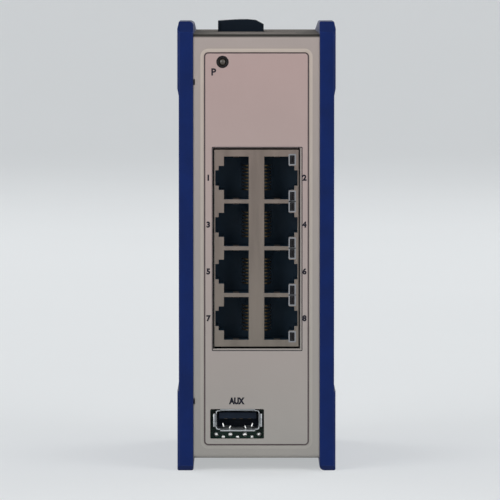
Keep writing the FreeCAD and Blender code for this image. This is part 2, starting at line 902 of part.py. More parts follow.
bar_thickness = 0.8
bar_width = 2.4
clamp_top = chamber_z[1] - 0.2
clamp_entry = (3.2, 2.8)


def plug_contacts():
    """A fork below that grips the pin, and a bar above under the clamp, one per pole."""
    contacts = []
    for depth in pole_centres:
        bar = box((pin_x - 1.05, 1.0), centred(depth, bar_width), (chamber_z[0], chamber_z[0] + bar_thickness))
        parts = [bar]
        for side in (-1, 1):
            near = pin_x + side * (pin_size / 2 + 0.15)
            far = near + side * 0.4
            parts.append(box(sorted((near, far)), centred(depth, bar_width), (header_floor + 1.5, chamber_z[0])))
        contacts.append(joined(parts))
    return contacts


def wire_clamps():
    """Brass blocks with a hole for the wire and a tapped hole for the screw, one per pole."""
    blocks = []
    low = chamber_z[0] + bar_thickness
    for depth in pole_centres:
        block = box((chamber_x[0] + 0.2, chamber_x[1] - 0.2), centred(depth, chamber_width - 0.2), (low, clamp_top))
        wire = box(centred(pin_x, clamp_entry[0]), centred(depth, clamp_entry[1]), (low + 1.0, clamp_top + 1))
        bore = rod(tapped_radius, (screw_x, depth, low + 0.6), (screw_x, depth, clamp_top + 1))
        blocks.append(block.cut([wire, bore]))
    return blocks


def terminal_screw(depth):
    """One slotted clamping screw, sunk in its well."""
    under_head = clamp_top + 0.4
    head = rod(1.95, (screw_x, depth, under_head), (screw_x, depth, under_head + 2.0))
    shank = rod(screw_radius, (screw_x, depth, chamber_z[0] + bar_thickness + 1.2), (screw_x, depth, under_head))
    slot = box(centred(screw_x, 5.0), centred(depth, 0.6), (under_head + 1.1, under_head + 3))
    return joined([head, shank]).cut(slot)


# ---------------------------------------------------------------------------------------------
# Rail clip: a fixed bracket with the upper hooks, and a sprung latch with the lower one
# ---------------------------------------------------------------------------------------------

channel = 9.5
latch_half = channel - slide_gap
foot_reach = 17.5
bracket_span = (case_bottom + 12.25, upper_lip + slide_gap + clip_plate)
strap_top = bracket_span[0] + 9.0
web_bottom = lower_lip + 0.5
hook_gap = 9.0
hook_lap = 2.6
spring_x_half = 3.5
latch_wide = 12.0
latch_span = (case_bottom + 0.75, lower_lip + 12.5)
tab_low = lower_lip - 5.5
lead = 1.1


def hat_section(span):
    """A plate bent into a hat: two feet on the case and a raised web that the latch runs under."""
    wall = channel + clip_plate
    foot = case_back + clip_plate
    outline = [(-foot_reach, case_back), (-foot_reach, foot), (-wall, foot), (-wall, web_back, 1.0),
               (wall, web_back, 1.0), (wall, foot), (foot_reach, foot), (foot_reach, case_back),
               (channel, case_back), (channel, web_face), (-channel, web_face), (-channel, case_back)]
    return prism(outline, "Z", span)


def screw_passages():
    """Passing holes for the screws through both feet."""
    holes = []
    for x in (-bracket_screw_x, bracket_screw_x):
        start = (x, case_back - 1, bracket_screw_height)
        holes.append(rod(passing_radius, start, (x, case_back + 3, bracket_screw_height)))
    return holes


def rail_hook(start, edge, way, x_span):
    """A hook that reaches round one lip of the rail. Its tip leans away to lead the rail in."""
    level = edge + way * slide_gap
    top = level + way * clip_plate
    bend = edge - way * (hook_lap - lead)
    tip = edge - way * hook_lap
    outline = [(start, level), (hook_face, level), (hook_face, bend), (hook_face + lead, tip),
               (clip_back, tip), (hook_back, bend), (hook_back, top, 1.2), (start, top)]
    return prism(outline, "X", x_span)


def rail_bracket():
    """The pressed bracket: hooks over the rail's upper lip, and a strap below that guides the latch."""
    window = box((-channel, channel), (web_face - 1, web_back + 1), (strap_top, web_bottom))
    web = hat_section(bracket_span).cut([window] + screw_passages())
    hooks = [rail_hook(web_face + 0.5, upper_lip, 1, (hook_gap / 2, channel)),
             rail_hook(web_face + 0.5, upper_lip, 1, (-channel, -hook_gap / 2))]
    seat = box((-spring_x_half, spring_x_half), (web_face + 0.5, hook_back + 0.3),
               (strap_top - clip_plate, strap_top))
    return joined([web, seat] + hooks)


def rail_latch():
    """The sliding half of the clip: pulled down it frees the rail, and the spring returns it."""
    shoulder = bracket_span[0] - 0.1
    plate = [(-latch_wide, latch_span[0], 2.0), (latch_wide, latch_span[0], 2.0), (latch_wide, shoulder),
             (latch_half, shoulder), (latch_half, latch_span[1], 1.0), (-latch_half, latch_span[1], 1.0),
             (-latch_half, shoulder), (-latch_wide, shoulder)]
    body = prism(plate, "Y", (latch_face, latch_back))
    through = (latch_face - 1, latch_back + 1)
    pull_slot = rounded_plate((-4.5, 4.5), (latch_span[0] + 3.0, latch_span[0] + 6.0), 0.8, "Y", through)
    hook_window = box((-6.5, 6.5), through, (lower_lip - slide_gap, lower_lip + 5.0))
    tab_window = box((-spring_x_half, spring_x_half), through, (tab_low - 5.0, tab_low))
    hook = rail_hook(latch_face, lower_lip, -1, (-6.5, 6.5))
    tab = box((-spring_x_half, spring_x_half), (latch_face, hook_back + 0.3), (tab_low, tab_low + clip_plate))
    return joined([body.cut([pull_slot, hook_window, tab_window]), hook, tab])


spring_turns = 7
flats_per_turn = 10
spring_radius = 1.9
wire_size = 0.7


def latch_spring():
    """A compression spring between the strap and the tab of the latch."""
    low = strap_top + wire_size / 2
    high = tab_low - wire_size / 2 - 0.2
    axis_y = latch_back + 0.15 + spring_radius + wire_size / 2
    steps = spring_turns * flats_per_turn
    points = []
    for step in range(steps + 1):
        turn = 2 * math.pi * step / flats_per_turn
        points.append(Vector(spring_radius * math.cos(turn), axis_y + spring_radius * math.sin(turn),
                             low + (high - low) * step / steps))
    path = Part.makePolygon(points)
    half = wire_size / 2
    corners = [Vector(spring_radius + u, axis_y, low + v)
               for u, v in ((-half, -half), (half, -half), (half, half), (-half, half), (-half, -half))]
    return path.makePipeShell([Part.makePolygon(corners)], True, False, 1)


# ---------------------------------------------------------------------------------------------
# Pan-head screws, all alike
# ---------------------------------------------------------------------------------------------


def pan_head_screw(seat, way):
    """One screw whose head stands on a seat and whose shank runs along a way."""
    seat = Vector(*seat)
    head = Part.makeCylinder(screw_head_radius, screw_head_height, seat, -way)
    shank = Part.makeCylinder(screw_radius, screw_length, seat, way)
    return joined([head, shank])


def pan_head_screws():
    """The screws that hold the board to its spacers and the rail bracket to the case."""
    screws = [pan_head_screw((board_face, y, z), -AXES["X"]) for y, z in board_screw_places]
    for x in (-bracket_screw_x, bracket_screw_x):
        screws.append(pan_head_screw((x, case_back + clip_plate, bracket_screw_height), -AXES["Y"]))
    return screws


# ---------------------------------------------------------------------------------------------
# Write every piece
# ---------------------------------------------------------------------------------------------

right_cover_shape = cover(0.4, 1.6)
left_cover_shape = mirrored(cover(1.2, 0.6))

pieces = {
    "front_shell": front_shell(),
    "rear_chassis": rear_chassis(),
    "left_cover": left_cover_shape,
    "right_cover": right_cover_shape,
    "case_screws": [case_screw(end) for end in ends],
    "label_foil": label_foil(),
    "jack_shield": jack_shield(),
    "jack_housing": jack_housing(),
    "jack_contacts": jack_contacts(),
    "port_lights": port_lights(),
    "usb_shell": usb_shell(),
    "usb_insulator": usb_insulator(),
    "usb_contacts": usb_contacts(),
    "usb_board": usb_board(),
    "usb_solder_joints": solder_joints(),
    "usb_link": usb_link(),
    "lamp_holder": lamp_holder(),
    "status_lamp": status_lamp(),
    "main_board": main_board(),
    "board_standoffs": board_standoffs(),
    "switch_chip": switch_chip(),
    "heat_sink": heat_sink(),
    "transformers": transformers(),
    "capacitor": capacitor(),
    "power_coil": power_coil(),
    "clock_crystal": clock_crystal(),
    "memory_chip": memory_chip(),
    "power_header": power_header(),
    "power_pins": power_pins(),
    "plug_body": plug_body(),
    "plug_contacts": plug_contacts(),
    "wire_clamps": wire_clamps(),
    "rail_bracket": rail_bracket(),
    "rail_latch": rail_latch(),
    "latch_spring": latch_spring(),
    "pan_head_screws": pan_head_screws(),
}
for number, pole_depth in enumerate(pole_centres, start=1):
    pieces["terminal_screw_" + str(number)] = terminal_screw(pole_depth)

for node, shapes in pieces.items():
    save(node, shapes)
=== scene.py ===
# %% [markdown]
# # A network switch for a control cabinet
# The object is a narrow upright box that clips to a rail inside a cabinet. A folded steel case stands
# between two deep blue plastic covers. Its front carries a printed foil, eight network sockets, one
# USB socket and a small lamp, and a screw-terminal plug stands out of its top. The shapes and sizes
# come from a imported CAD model. This lesson softens its edges, adds the fine pieces that a CAD model
# leaves out, and gives every piece its finish. All lengths are in metres.

# %% Load the model
import math

import bmesh
import bpy
from mathutils import Matrix, Vector


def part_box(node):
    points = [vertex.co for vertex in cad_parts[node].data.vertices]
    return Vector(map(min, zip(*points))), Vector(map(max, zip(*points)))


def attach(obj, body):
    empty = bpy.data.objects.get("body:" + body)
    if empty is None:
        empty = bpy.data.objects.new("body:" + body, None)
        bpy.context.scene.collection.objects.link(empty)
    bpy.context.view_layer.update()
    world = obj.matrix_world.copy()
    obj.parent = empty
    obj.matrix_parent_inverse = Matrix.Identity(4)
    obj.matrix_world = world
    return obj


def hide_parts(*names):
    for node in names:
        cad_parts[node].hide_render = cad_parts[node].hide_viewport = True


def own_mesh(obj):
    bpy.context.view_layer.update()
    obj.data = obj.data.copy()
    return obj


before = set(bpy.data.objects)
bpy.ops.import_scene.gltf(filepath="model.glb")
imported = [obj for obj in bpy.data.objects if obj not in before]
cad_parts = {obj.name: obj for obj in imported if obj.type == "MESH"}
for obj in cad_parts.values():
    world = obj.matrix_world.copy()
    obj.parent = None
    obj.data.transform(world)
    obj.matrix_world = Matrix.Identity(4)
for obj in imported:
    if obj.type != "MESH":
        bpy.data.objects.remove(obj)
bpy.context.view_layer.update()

MM = 0.001

# %% [markdown]
# ## Where things are
# Places are worked out from the corners of a CAD node's box, so that a piece lands on the piece that
# carries it. A middle is the mean of the two corners, and the front of a node is its lowest Y, because
# the front of the case looks along -Y.

# %% Places on the model


def middle(node):
    """The middle of a CAD node's box."""
    low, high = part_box(node)
    return (low + high) / 2


LABEL_LOW, LABEL_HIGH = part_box("label_foil")
LABEL_FACE = LABEL_LOW.y
JACK_LOW, JACK_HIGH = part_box("jack_shield")
PORT_ROWS = 4
PORT_PITCH = 13.97 * MM
PORT_HEIGHTS = [middle("jack_shield").z + PORT_PITCH * (row - (PORT_ROWS - 1) / 2)
                for row in range(PORT_ROWS)]
print("label face at", round(LABEL_FACE / MM, 2), "mm")
print("port heights in mm:", [round(height / MM, 2) for height in PORT_HEIGHTS])

# %% [markdown]
# ## Camera
# A long lens from well away keeps the tall narrow case free of perspective, and it looks slightly down
# from in front. It is long enough for the case to fill most of the height of the frame.

# %% Camera

CAMERA_PLACE = Vector((-0.0038, -1.7085, 0.153))
CAMERA_AIM = Vector((-0.00193, -0.0585, 0.066))
LENS = 399.4

camera_data = bpy.data.cameras.new("camera")
camera_data.lens = LENS
camera_data.sensor_width = 36.0
camera_data.clip_start = 0.05
camera = bpy.data.objects.new("camera", camera_data)
camera.location = CAMERA_PLACE
camera.rotation_euler = (CAMERA_AIM - CAMERA_PLACE).to_track_quat("-Z", "Y").to_euler()
bpy.context.scene.collection.objects.link(camera)
bpy.context.scene.camera = camera
bpy.context.scene.view_settings.view_transform = "Standard"
print("camera distance", round((CAMERA_AIM - CAMERA_PLACE).length, 3), "m")

# %% [markdown]
# ## Colours
# Paint and plastic colours are easiest to think of as screen values from 0 to 255, but a shader wants
# linear light. One small function turns the first into the second, and another scales a colour.

# %% Colour helper


def colour(red, green, blue):
    """A screen colour from 0 to 255 as linear light with full opacity."""
    linear = []
    for value in (red, green, blue):
        share = value / 255
        linear.append(share / 12.92 if share <= 0.04045 else ((share + 0.055) / 1.055) ** 2.4)
    return (*linear, 1.0)


def scaled(base, factor):
    """A colour made lighter or darker."""
    return (*[min(1.0, channel * factor) for channel in base[:3]], 1.0)


print("mid grey is", [round(value, 3) for value in colour(128, 128, 128)])

# %% [markdown]
# ## Nodes from a script
# Materials and the trees of Geometry Nodes are made of nodes whose sockets are either set to a value or
# joined to another node. These helpers do both in one call, so that a tree reads like a formula.

# %% Node helpers


def feed(tree, socket, value):
    """Sets a socket to a value, or joins it to the socket that the value comes from."""
    if isinstance(value, bpy.types.NodeSocket):
        tree.links.new(value, socket)
    else:
        socket.default_value = value


def add_node(tree, kind, **settings):
    """A node whose named sockets are fed. An underscore in a name stands for a space."""
    node = tree.nodes.new(kind)
    for name, value in settings.items():
        feed(tree, node.inputs[name.replace("_", " ")], value)
    return node


def computed(tree, operation, first, second):
    """The result of an operation on two numbers, each a value or a socket."""
    node = tree.nodes.new("ShaderNodeMath")
    node.operation = operation
    feed(tree, node.inputs[0], first)
    feed(tree, node.inputs[1], second)
    return node.outputs[0]


print("node helpers ready")

# %% [markdown]
# ## How a finish is built
# Real paint, plastic and plate are never one flat colour. Each finish here has four layers of detail: a
# cloudy change of tone, a fine grain that raises the surface by a few microns, a change of gloss such as
# handling leaves, and paler edges where the finish has rubbed. A brushed or rolled metal uses the same layers
# with the noise stretched along one direction. The edge layer reads an attribute that is 1 on rounded edges,
# so a piece without the attribute simply has no wear. Some finishes also turn from a cooler tone at the foot
# to a warmer one above.

# %% Finish helpers


def noise_layer(tree, size, stretch=(1, 1, 1), detail=3.0):
    """Noise whose features have a given size in metres, on the object's own coordinates."""
    place = add_node(tree, "ShaderNodeTexCoord").outputs["Object"]
    mapped = add_node(tree, "ShaderNodeMapping", Vector=place, Scale=stretch).outputs["Vector"]
    return add_node(tree, "ShaderNodeTexNoise", Vector=mapped, Scale=1 / size, Detail=detail).outputs["Fac"]


def spread(tree, value, low, high, start=0.35, end=0.65):
    """Stretches a value to run between two limits. The usual start and end are those of noise."""
    return add_node(tree, "ShaderNodeMapRange", Value=value, From_Min=start, From_Max=end,
                    To_Min=low, To_Max=high).outputs["Result"]


def blended(tree, share, first, second):
    """Mixes two colours, each a value or a socket, by a share."""
    node = tree.nodes.new("ShaderNodeMix")
    node.data_type = "RGBA"
    for index, value in ((0, share), (6, first), (7, second)):
        feed(tree, node.inputs[index], value)
    return node.outputs[2]


FOOT_HEIGHT = 5 * MM
HEAD_HEIGHT = 120 * MM
WEAR_PATCH = 1.5 * MM
SMEAR_SHARE = 0.6


def finish(name, base, roughness, metallic=0.0, tone=0.08, cloud=0.003, grain=0.0003, relief=2e-6,
           smudge=0.08, stretch=(1, 1, 1), wear=None, foot=None, **sockets):
    """A material with cloudy tone, fine grain and uneven gloss, and if given, a foot and rubbed edges."""
    material = bpy.data.materials.new(name)
    material.use_nodes = True
    tree = material.node_tree
    shader = tree.nodes["Principled BSDF"]
    shader.inputs["Metallic"].default_value = metallic
    for socket, value in sockets.items():
        shader.inputs[socket.replace("_", " ")].default_value = value
    clouds = spread(tree, noise_layer(tree, cloud, stretch), 0.0, 1.0)
    tint = blended(tree, clouds, scaled(base, 1 - tone), scaled(base, 1 + tone))
    # A tone that runs from a cooler one at the foot to a warmer one above.
    if foot:
        place = add_node(tree, "ShaderNodeTexCoord").outputs["Object"]
        height = add_node(tree, "ShaderNodeSeparateXYZ", Vector=place).outputs["Z"]
        low_tint = blended(tree, clouds, scaled(foot, 1 - tone), scaled(foot, 1 + tone))
        tint = blended(tree, spread(tree, height, 0.0, 1.0, FOOT_HEIGHT, HEAD_HEIGHT), low_tint, tint)
    if wear:
        edge = tree.nodes.new("ShaderNodeAttribute")
        edge.attribute_name = "edge_wear"
        patches = spread(tree, noise_layer(tree, WEAR_PATCH), 0.1, 0.9)
        tint = blended(tree, computed(tree, "MULTIPLY", edge.outputs["Fac"], patches), tint, wear)
    smears = noise_layer(tree, cloud * SMEAR_SHARE, stretch, 4.0)
    bump = add_node(tree, "ShaderNodeBump", Strength=1.0, Distance=relief,
                    Height=noise_layer(tree, grain, stretch, 2.0))
    tree.links.new(tint, shader.inputs["Base Color"])
    tree.links.new(spread(tree, smears, roughness - smudge, roughness + smudge), shader.inputs["Roughness"])
    tree.links.new(bump.outputs["Normal"], shader.inputs["Normal"])
    return material


print("finish helpers ready")

# %% [markdown]
# ## Paint and printed foil
# The case is powder coated: a satin skin with a fine orange peel. Where it faces up, its colour is painted
# darker as shade and its gloss is made matt. The foil on the front is smoother and a little warmer, with a
# faint gloss and a paler rim that is a painted highlight along its edge, and its print is a matt blue-black
# ink. The direction of a face comes from its normal, so the painted shade lies on the top wall, and a darker
# painted shade sits on the bend in front of it.

# %% Paint, foil and ink

powder_coat = finish("powder_coat", colour(158, 147, 142), 0.55, tone=0.03, cloud=0.03, grain=0.00045,
                     relief=7e-6, smudge=0.05, wear=colour(184, 177, 170), foot=colour(145, 142, 137),
                     Specular_IOR_Level=0.2)
chassis_coat = finish("chassis_coat", colour(156, 149, 144), 0.52, tone=0.03, cloud=0.03, grain=0.00045,
                      relief=7e-6, smudge=0.05, wear=colour(180, 176, 171), Specular_IOR_Level=0.25)
printed_foil = finish("printed_foil", colour(167, 145, 141), 0.44, tone=0.02, cloud=0.04, grain=0.00025,
                      relief=1.5e-6, smudge=0.05, wear=colour(190, 178, 171), foot=colour(147, 144, 139),
                      Specular_IOR_Level=0.3)
# The paler margin round the foil is a painted highlight along its edge.
foil_edge = finish("foil_edge", colour(179, 166, 156), 0.4, tone=0.02, cloud=0.03, grain=0.00025,
                   relief=1.5e-6, smudge=0.05, foot=colour(150, 147, 141), Specular_IOR_Level=0.3)
dark_ink = finish("dark_ink", colour(14, 13, 26), 0.55, tone=0.12, cloud=0.001, grain=0.0002, relief=1e-6,
                  Specular_IOR_Level=0.2)
# The colour of the thin dark line along the foil's edge.
outline_ink = finish("outline_ink", colour(70, 60, 62), 0.55, tone=0.1, cloud=0.002, grain=0.0002,
                     relief=1e-6, Specular_IOR_Level=0.2)
# Painted shade: the faces that look up, and the bends towards them, are darkened in the colour.
TOP_SHADE = colour(106, 101, 95)
UPWARD_ROUGHNESS = 0.9
TOP_SHADE_PATCH = 9 * MM
BEND_SHADE = colour(50, 48, 45)


def painted_top_shade(material):
    """Paints shade on the faces of a paint that look up and makes them matt, and paints a darker shade on the
    bends towards them.
    """
    tree = material.node_tree
    shader = tree.nodes["Principled BSDF"]
    painted = shader.inputs["Base Color"].links[0].from_socket
    gloss = shader.inputs["Roughness"].links[0].from_socket
    normal = add_node(tree, "ShaderNodeNewGeometry").outputs["Normal"]
    upward = add_node(tree, "ShaderNodeSeparateXYZ", Vector=normal).outputs["Z"]
    patches = spread(tree, noise_layer(tree, TOP_SHADE_PATCH), 0.88, 1.0)
    top_shade_share = computed(tree, "MULTIPLY", spread(tree, upward, 0.0, 1.0, 0.05, 0.8), patches)
    bend_shade_share = computed(tree, "MULTIPLY", spread(tree, upward, 0.0, 1.0, 0.1, 0.5),
                        spread(tree, upward, 1.0, 0.0, 0.9, 0.99))
    top_shaded = blended(tree, top_shade_share, painted, TOP_SHADE)
    matt = add_node(tree, "ShaderNodeMix", Factor=top_shade_share, A=gloss, B=UPWARD_ROUGHNESS)
    tree.links.new(blended(tree, bend_shade_share, top_shaded, BEND_SHADE), shader.inputs["Base Color"])
    tree.links.new(matt.outputs[0], shader.inputs["Roughness"])


painted_top_shade(powder_coat)
print("paint:", powder_coat.name, chassis_coat.name, printed_foil.name)

# %% [markdown]
# ## Plastics
# The covers are moulded in deep cobalt blue with a fine spark-eroded grain that scatters highlights.
# The socket block, the plug and the lamp holder are nearly black, with a slight blue cast.

# %% Plastics

# The pale edge colour of the covers is partly rubbed wear and partly a painted highlight along their rounded
# edges.
cover_blue = finish("cover_blue", colour(0, 26, 80), 0.4, tone=0.12, cloud=0.01, grain=0.0006, relief=2e-5,
                    smudge=0.02, wear=colour(64, 92, 166), Specular_IOR_Level=0.15)
housing_navy = finish("housing_navy", colour(44, 62, 78), 0.5, cloud=0.01, relief=3e-6,
                      Specular_IOR_Level=0.12)
socket_black = finish("socket_black", colour(9, 21, 36), 0.5, tone=0.1, cloud=0.01, relief=3e-6,
                      wear=colour(30, 42, 58), Specular_IOR_Level=0.15)
plug_black = finish("plug_black", colour(10, 22, 34), 0.48, cloud=0.008, relief=4e-6, smudge=0.05,
                    wear=colour(42, 52, 66), Specular_IOR_Level=0.12)
chip_black = finish("chip_black", colour(38, 38, 40), 0.6, cloud=0.006, grain=0.0002, relief=4e-6)
ring_black = finish("ring_black", colour(20, 18, 20), 0.45, cloud=0.002, relief=3e-6, wear=colour(52, 48, 50),
                    Specular_IOR_Level=0.2)
lamp_smoke = finish("lamp_smoke", colour(66, 61, 54), 0.3, tone=0.15, cloud=0.001, grain=0.0006, relief=1e-6,
                    smudge=0.04, Coat_Weight=0.2)
window_smoke = finish("window_smoke", colour(8, 7, 10), 0.4, tone=0.3, cloud=0.0006, grain=0.0004,
                      smudge=0.05, Specular_IOR_Level=0.12)
# The colour of a painted highlight: a thin paler frame inside each light window.
window_core = finish("window_core", colour(26, 21, 25), 0.35, tone=0.2, cloud=0.0006, relief=1e-6)
window_rim = finish("window_rim", colour(122, 123, 127), 0.42, tone=0.06, cloud=0.001)
print("plastics:", cover_blue.name, socket_black.name, plug_black.name)

# %% [markdown]
# ## Metals
# Tin plate on the sockets is dull and warm, with faint rolling lines. The USB shell is brighter
# nickel. The rail clip is zinc-plated steel, bluish and cloudy, and the case screws are a duller zinc.
# Contacts are gold over nickel, with the colour painted dark as shade deep in the sockets.

# %% Metals

tin_plate = finish("tin_plate", colour(122, 108, 101), 0.4, metallic=0.75, tone=0.06, cloud=0.004, smudge=0.1,
                   stretch=(1, 1, 0.12), wear=colour(188, 176, 166), foot=colour(115, 110, 102))
nickel_plate = finish("nickel_plate", colour(176, 180, 183), 0.3, metallic=0.6, tone=0.05, relief=1e-6,
                      stretch=(0.15, 1, 1), wear=colour(214, 217, 218))
zinc_plate = finish("zinc_plate", colour(160, 165, 171), 0.36, metallic=1.0, cloud=0.006, smudge=0.1,
                    wear=colour(206, 209, 212))
dull_zinc = finish("dull_zinc", colour(126, 129, 133), 0.52, metallic=0.85, smudge=0.06)
spring_wire = finish("spring_wire", colour(150, 152, 154), 0.28, metallic=1.0, tone=0.06, cloud=0.002,
                     grain=0.0002, relief=1e-6, smudge=0.06)
# Painted shade: the gold is darkened because the contacts lie in the shade deep in the sockets.
gold_plate = finish("gold_plate", colour(84, 70, 46), 0.36, metallic=0.9, cloud=0.001, grain=0.0002,
                    relief=1e-6, smudge=0.06)
brass_plate = finish("brass_plate", colour(196, 180, 132), 0.32, metallic=1.0, tone=0.07)
bright_solder = finish("bright_solder", colour(252, 252, 250), 0.52, metallic=1.0, tone=0.02, cloud=0.0006,
                       grain=0.0002, relief=3e-6)
black_anodised = finish("black_anodised", colour(44, 45, 48), 0.42, metallic=0.6, cloud=0.005)
can_aluminium = finish("can_aluminium", colour(190, 192, 196), 0.35, metallic=1.0, tone=0.05, cloud=0.004,
                       relief=1e-6, stretch=(0.1, 1, 1))
print("metals:", tin_plate.name, nickel_plate.name, zinc_plate.name)

# %% [markdown]
# ## Circuit board
# A board is glass laminate under green lacquer. Copper tracks under the lacquer lift it slightly and
# lighten it, which a brick pattern with long thin bricks imitates well enough at this size.

# %% Circuit board

board_green = finish("board_green", colour(9, 30, 25), 0.4, tone=0.12, grain=0.0002, Specular_IOR_Level=0.2)
board_tree = board_green.node_tree
board_shader = board_tree.nodes["Principled BSDF"]
lacquer = board_shader.inputs["Base Color"].links[0].from_socket
board_place = add_node(board_tree, "ShaderNodeTexCoord").outputs["Object"]
board_upright = add_node(board_tree, "ShaderNodeMapping", Vector=board_place, Rotation=(math.pi / 2, 0, 0))
tracks = add_node(board_tree, "ShaderNodeTexBrick", Vector=board_upright.outputs["Vector"], Scale=1.0,
                  Brick_Width=6 * MM, Row_Height=1.1 * MM, Mortar_Size=0.22 * MM, Mortar_Smooth=0.2)
tracks_green = colour(16, 46, 36)
board_tree.links.new(blended(board_tree, tracks.outputs["Fac"], lacquer, tracks_green),
                     board_shader.inputs["Base Color"])
print("board material has", len(board_tree.nodes), "nodes")

# %% [markdown]
# ## Pieces
# A finished piece is a plain mesh whose object sits at the origin, unturned and unscaled. It rides on a
# body of the model, so that it moves with the right joint, and may stand for a CAD node, which then
# stays hidden. Modifiers and text leave seams and slivers in a mesh, so those are merged or taken out.

# %% Piece helpers

SEAM = 1e-7


def link_piece(name, mesh):
    """A new object at the origin that shows a mesh."""
    piece = bpy.data.objects.new(name, mesh)
    bpy.context.scene.collection.objects.link(piece)
    return piece


def applied(piece):
    """Turns a piece with modifiers into a plain mesh."""
    graph = bpy.context.evaluated_depsgraph_get()
    mesh = bpy.data.meshes.new_from_object(piece.evaluated_get(graph), depsgraph=graph)
    piece.modifiers.clear()
    piece.data = mesh
    return piece


def closed(mesh):
    """Merges the seams of a mesh and takes out slivers, points and edges that carry no face."""
    shape = bmesh.new()
    shape.from_mesh(mesh)
    bmesh.ops.remove_doubles(shape, verts=shape.verts, dist=SEAM)
    bmesh.ops.dissolve_degenerate(shape, dist=SEAM, edges=shape.edges)
    bmesh.ops.delete(shape, geom=[edge for edge in shape.edges if not edge.link_faces], context="EDGES")
    bmesh.ops.delete(shape, geom=[vert for vert in shape.verts if not vert.link_faces], context="VERTS")
    shape.to_mesh(mesh)
    shape.free()


def stand_in(piece, body, slot_name, *nodes):
    """Lets a piece ride on a body in place of the CAD nodes that it stands for."""
    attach(piece, body)
    if nodes:
        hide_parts(*nodes)
    return piece


print("piece helpers ready")

# %% [markdown]
# ## Softening a CAD shape
# A CAD solid has perfectly sharp edges, and nothing real does: a thin line of light along each edge is
# what makes sheet metal and mouldings look solid. So the visible pieces are rebuilt from their CAD
# node. A copy of the mesh is merged, its flat triangles are joined into whole faces, and a Bevel
# modifier rounds the edges. The rounded faces are marked with the wear attribute.

# %% Softening helpers


def mark_edges(mesh, index):
    """Sets the wear attribute on the faces of one material slot, then gives them the first slot."""
    wear = mesh.attributes.new("edge_wear", "FLOAT", "FACE")
    for face in mesh.polygons:
        if face.material_index == index:
            wear.data[face.index].value = 1.0
            face.material_index = 0


FLAT_ANGLE = math.radians(0.5)


def merged_shape(node):
    """The shape of a CAD node with its loose triangles joined."""
    shape = bmesh.new()
    shape.from_mesh(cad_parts[node].data)
    bmesh.ops.remove_doubles(shape, verts=shape.verts, dist=SEAM)
    return shape


def clean_copy(node):
    """A merged copy of a CAD node's mesh whose flat areas are whole faces."""
    shape = merged_shape(node)
    bmesh.ops.dissolve_limit(shape, angle_limit=FLAT_ANGLE, verts=shape.verts, edges=shape.edges)
    for face in shape.faces:
        face.smooth = True
    mesh = bpy.data.meshes.new(node)
    shape.to_mesh(mesh)
    shape.free()
    return mesh


SHARP_ANGLE = math.radians(28)


def softened(node, radius, material, body, slot_name):
    """Puts a copy with rounded edges in the place of a CAD node. Its second slot marks the rounded faces."""
    piece = link_piece(node + "_soft", clean_copy(node))
    piece.data.materials.append(material)
    piece.data.materials.append(material)
    bevel = piece.modifiers.new("rounding", "BEVEL")
    bevel.width = radius
    bevel.segments = 2
    bevel.limit_method = "ANGLE"
    bevel.angle_limit = SHARP_ANGLE
    bevel.use_clamp_overlap = True
    bevel.material = 1
    evened = piece.modifiers.new("even_shading", "WEIGHTED_NORMAL")
    evened.mode = "FACE_AREA"
    evened.weight = 50
    applied(piece)
    mark_edges(piece.data, 1)
    piece.data.materials.pop(index=1)
    return stand_in(piece, body, slot_name, node)


print("softening helpers ready")

# %% [markdown]
# ## Case and covers
# The front shell and the rear chassis are sheet, so their edges get only a hair of rounding. The
# moulded covers get more, as a moulding does where the tool was eased.

# %% Case and covers

SHEET_EDGE = 0.12 * MM
COVER_EDGE = 0.35 * MM
softened("front_shell", SHEET_EDGE, powder_coat, "housing", "case_paint")
softened("rear_chassis", SHEET_EDGE, chassis_coat, "housing", "chassis_steel")
for side in ("left_cover", "right_cover"):
    cover = softened(side, COVER_EDGE, cover_blue, "housing", "cover_blue")
    print(side, len(cover.data.polygons), "faces")

# %% [markdown]
# ## Rail clip
# The bracket and the latch are pressed from zinc-plated plate. Their edges are sheared and lightly
# tumbled, so they are rounded a little more than those of the case.

# %% Rail clip

PLATE_EDGE = 0.18 * MM
bracket = softened("rail_bracket", PLATE_EDGE, zinc_plate, "housing", "rail_steel")
latch = softened("rail_latch", PLATE_EDGE, zinc_plate, "latch", "rail_steel")
print("faces of bracket and latch:", len(bracket.data.polygons), len(latch.data.polygons))

# %% [markdown]
# ## Plug
# The plug's body is a small moulding with a wire entry and a screw well for each pole. Softening its
# edges is enough, because its shape is already in the CAD node.

# %% Plug

PLUG_EDGE = 0.15 * MM
plug = softened("plug_body", PLUG_EDGE, plug_black, "power_plug", "plug_black")
print("plug", len(plug.data.polygons), "faces")

# %% [markdown]
# ## Outlines and rings
# Dark lines, rims and margins are thin plates between two outlines. An outline is a rectangle with round
# corners, moved inwards or outwards from the piece that it follows.

# %% Outline helpers


def rounded_rectangle(x, z, inset, radius, steps=6):
    """The points of an upright rectangle moved inwards, with round corners, anticlockwise from the front."""
    left, right = x[0] + inset, x[1] - inset
    low, high = z[0] + inset, z[1] - inset
    points = []
    for index, (corner_x, corner_z) in enumerate(((right, high), (left, high), (left, low), (right, low))):
        centre_x = corner_x + (radius if index in (1, 2) else -radius)
        centre_z = corner_z + (radius if index in (2, 3) else -radius)
        for step in range(steps + 1):
            turn = math.pi / 2 * (index + step / steps)
            points.append((centre_x + radius * math.cos(turn), centre_z + radius * math.sin(turn)))
    return points


def shape_piece(name, shape, material):
    """A new piece from a closed shape, with its faces turned outwards."""
    bmesh.ops.recalc_face_normals(shape, faces=shape.faces)
    mesh = bpy.data.meshes.new(name)
    shape.to_mesh(mesh)
    shape.free()
    mesh.materials.append(material)
    return link_piece(name, mesh)


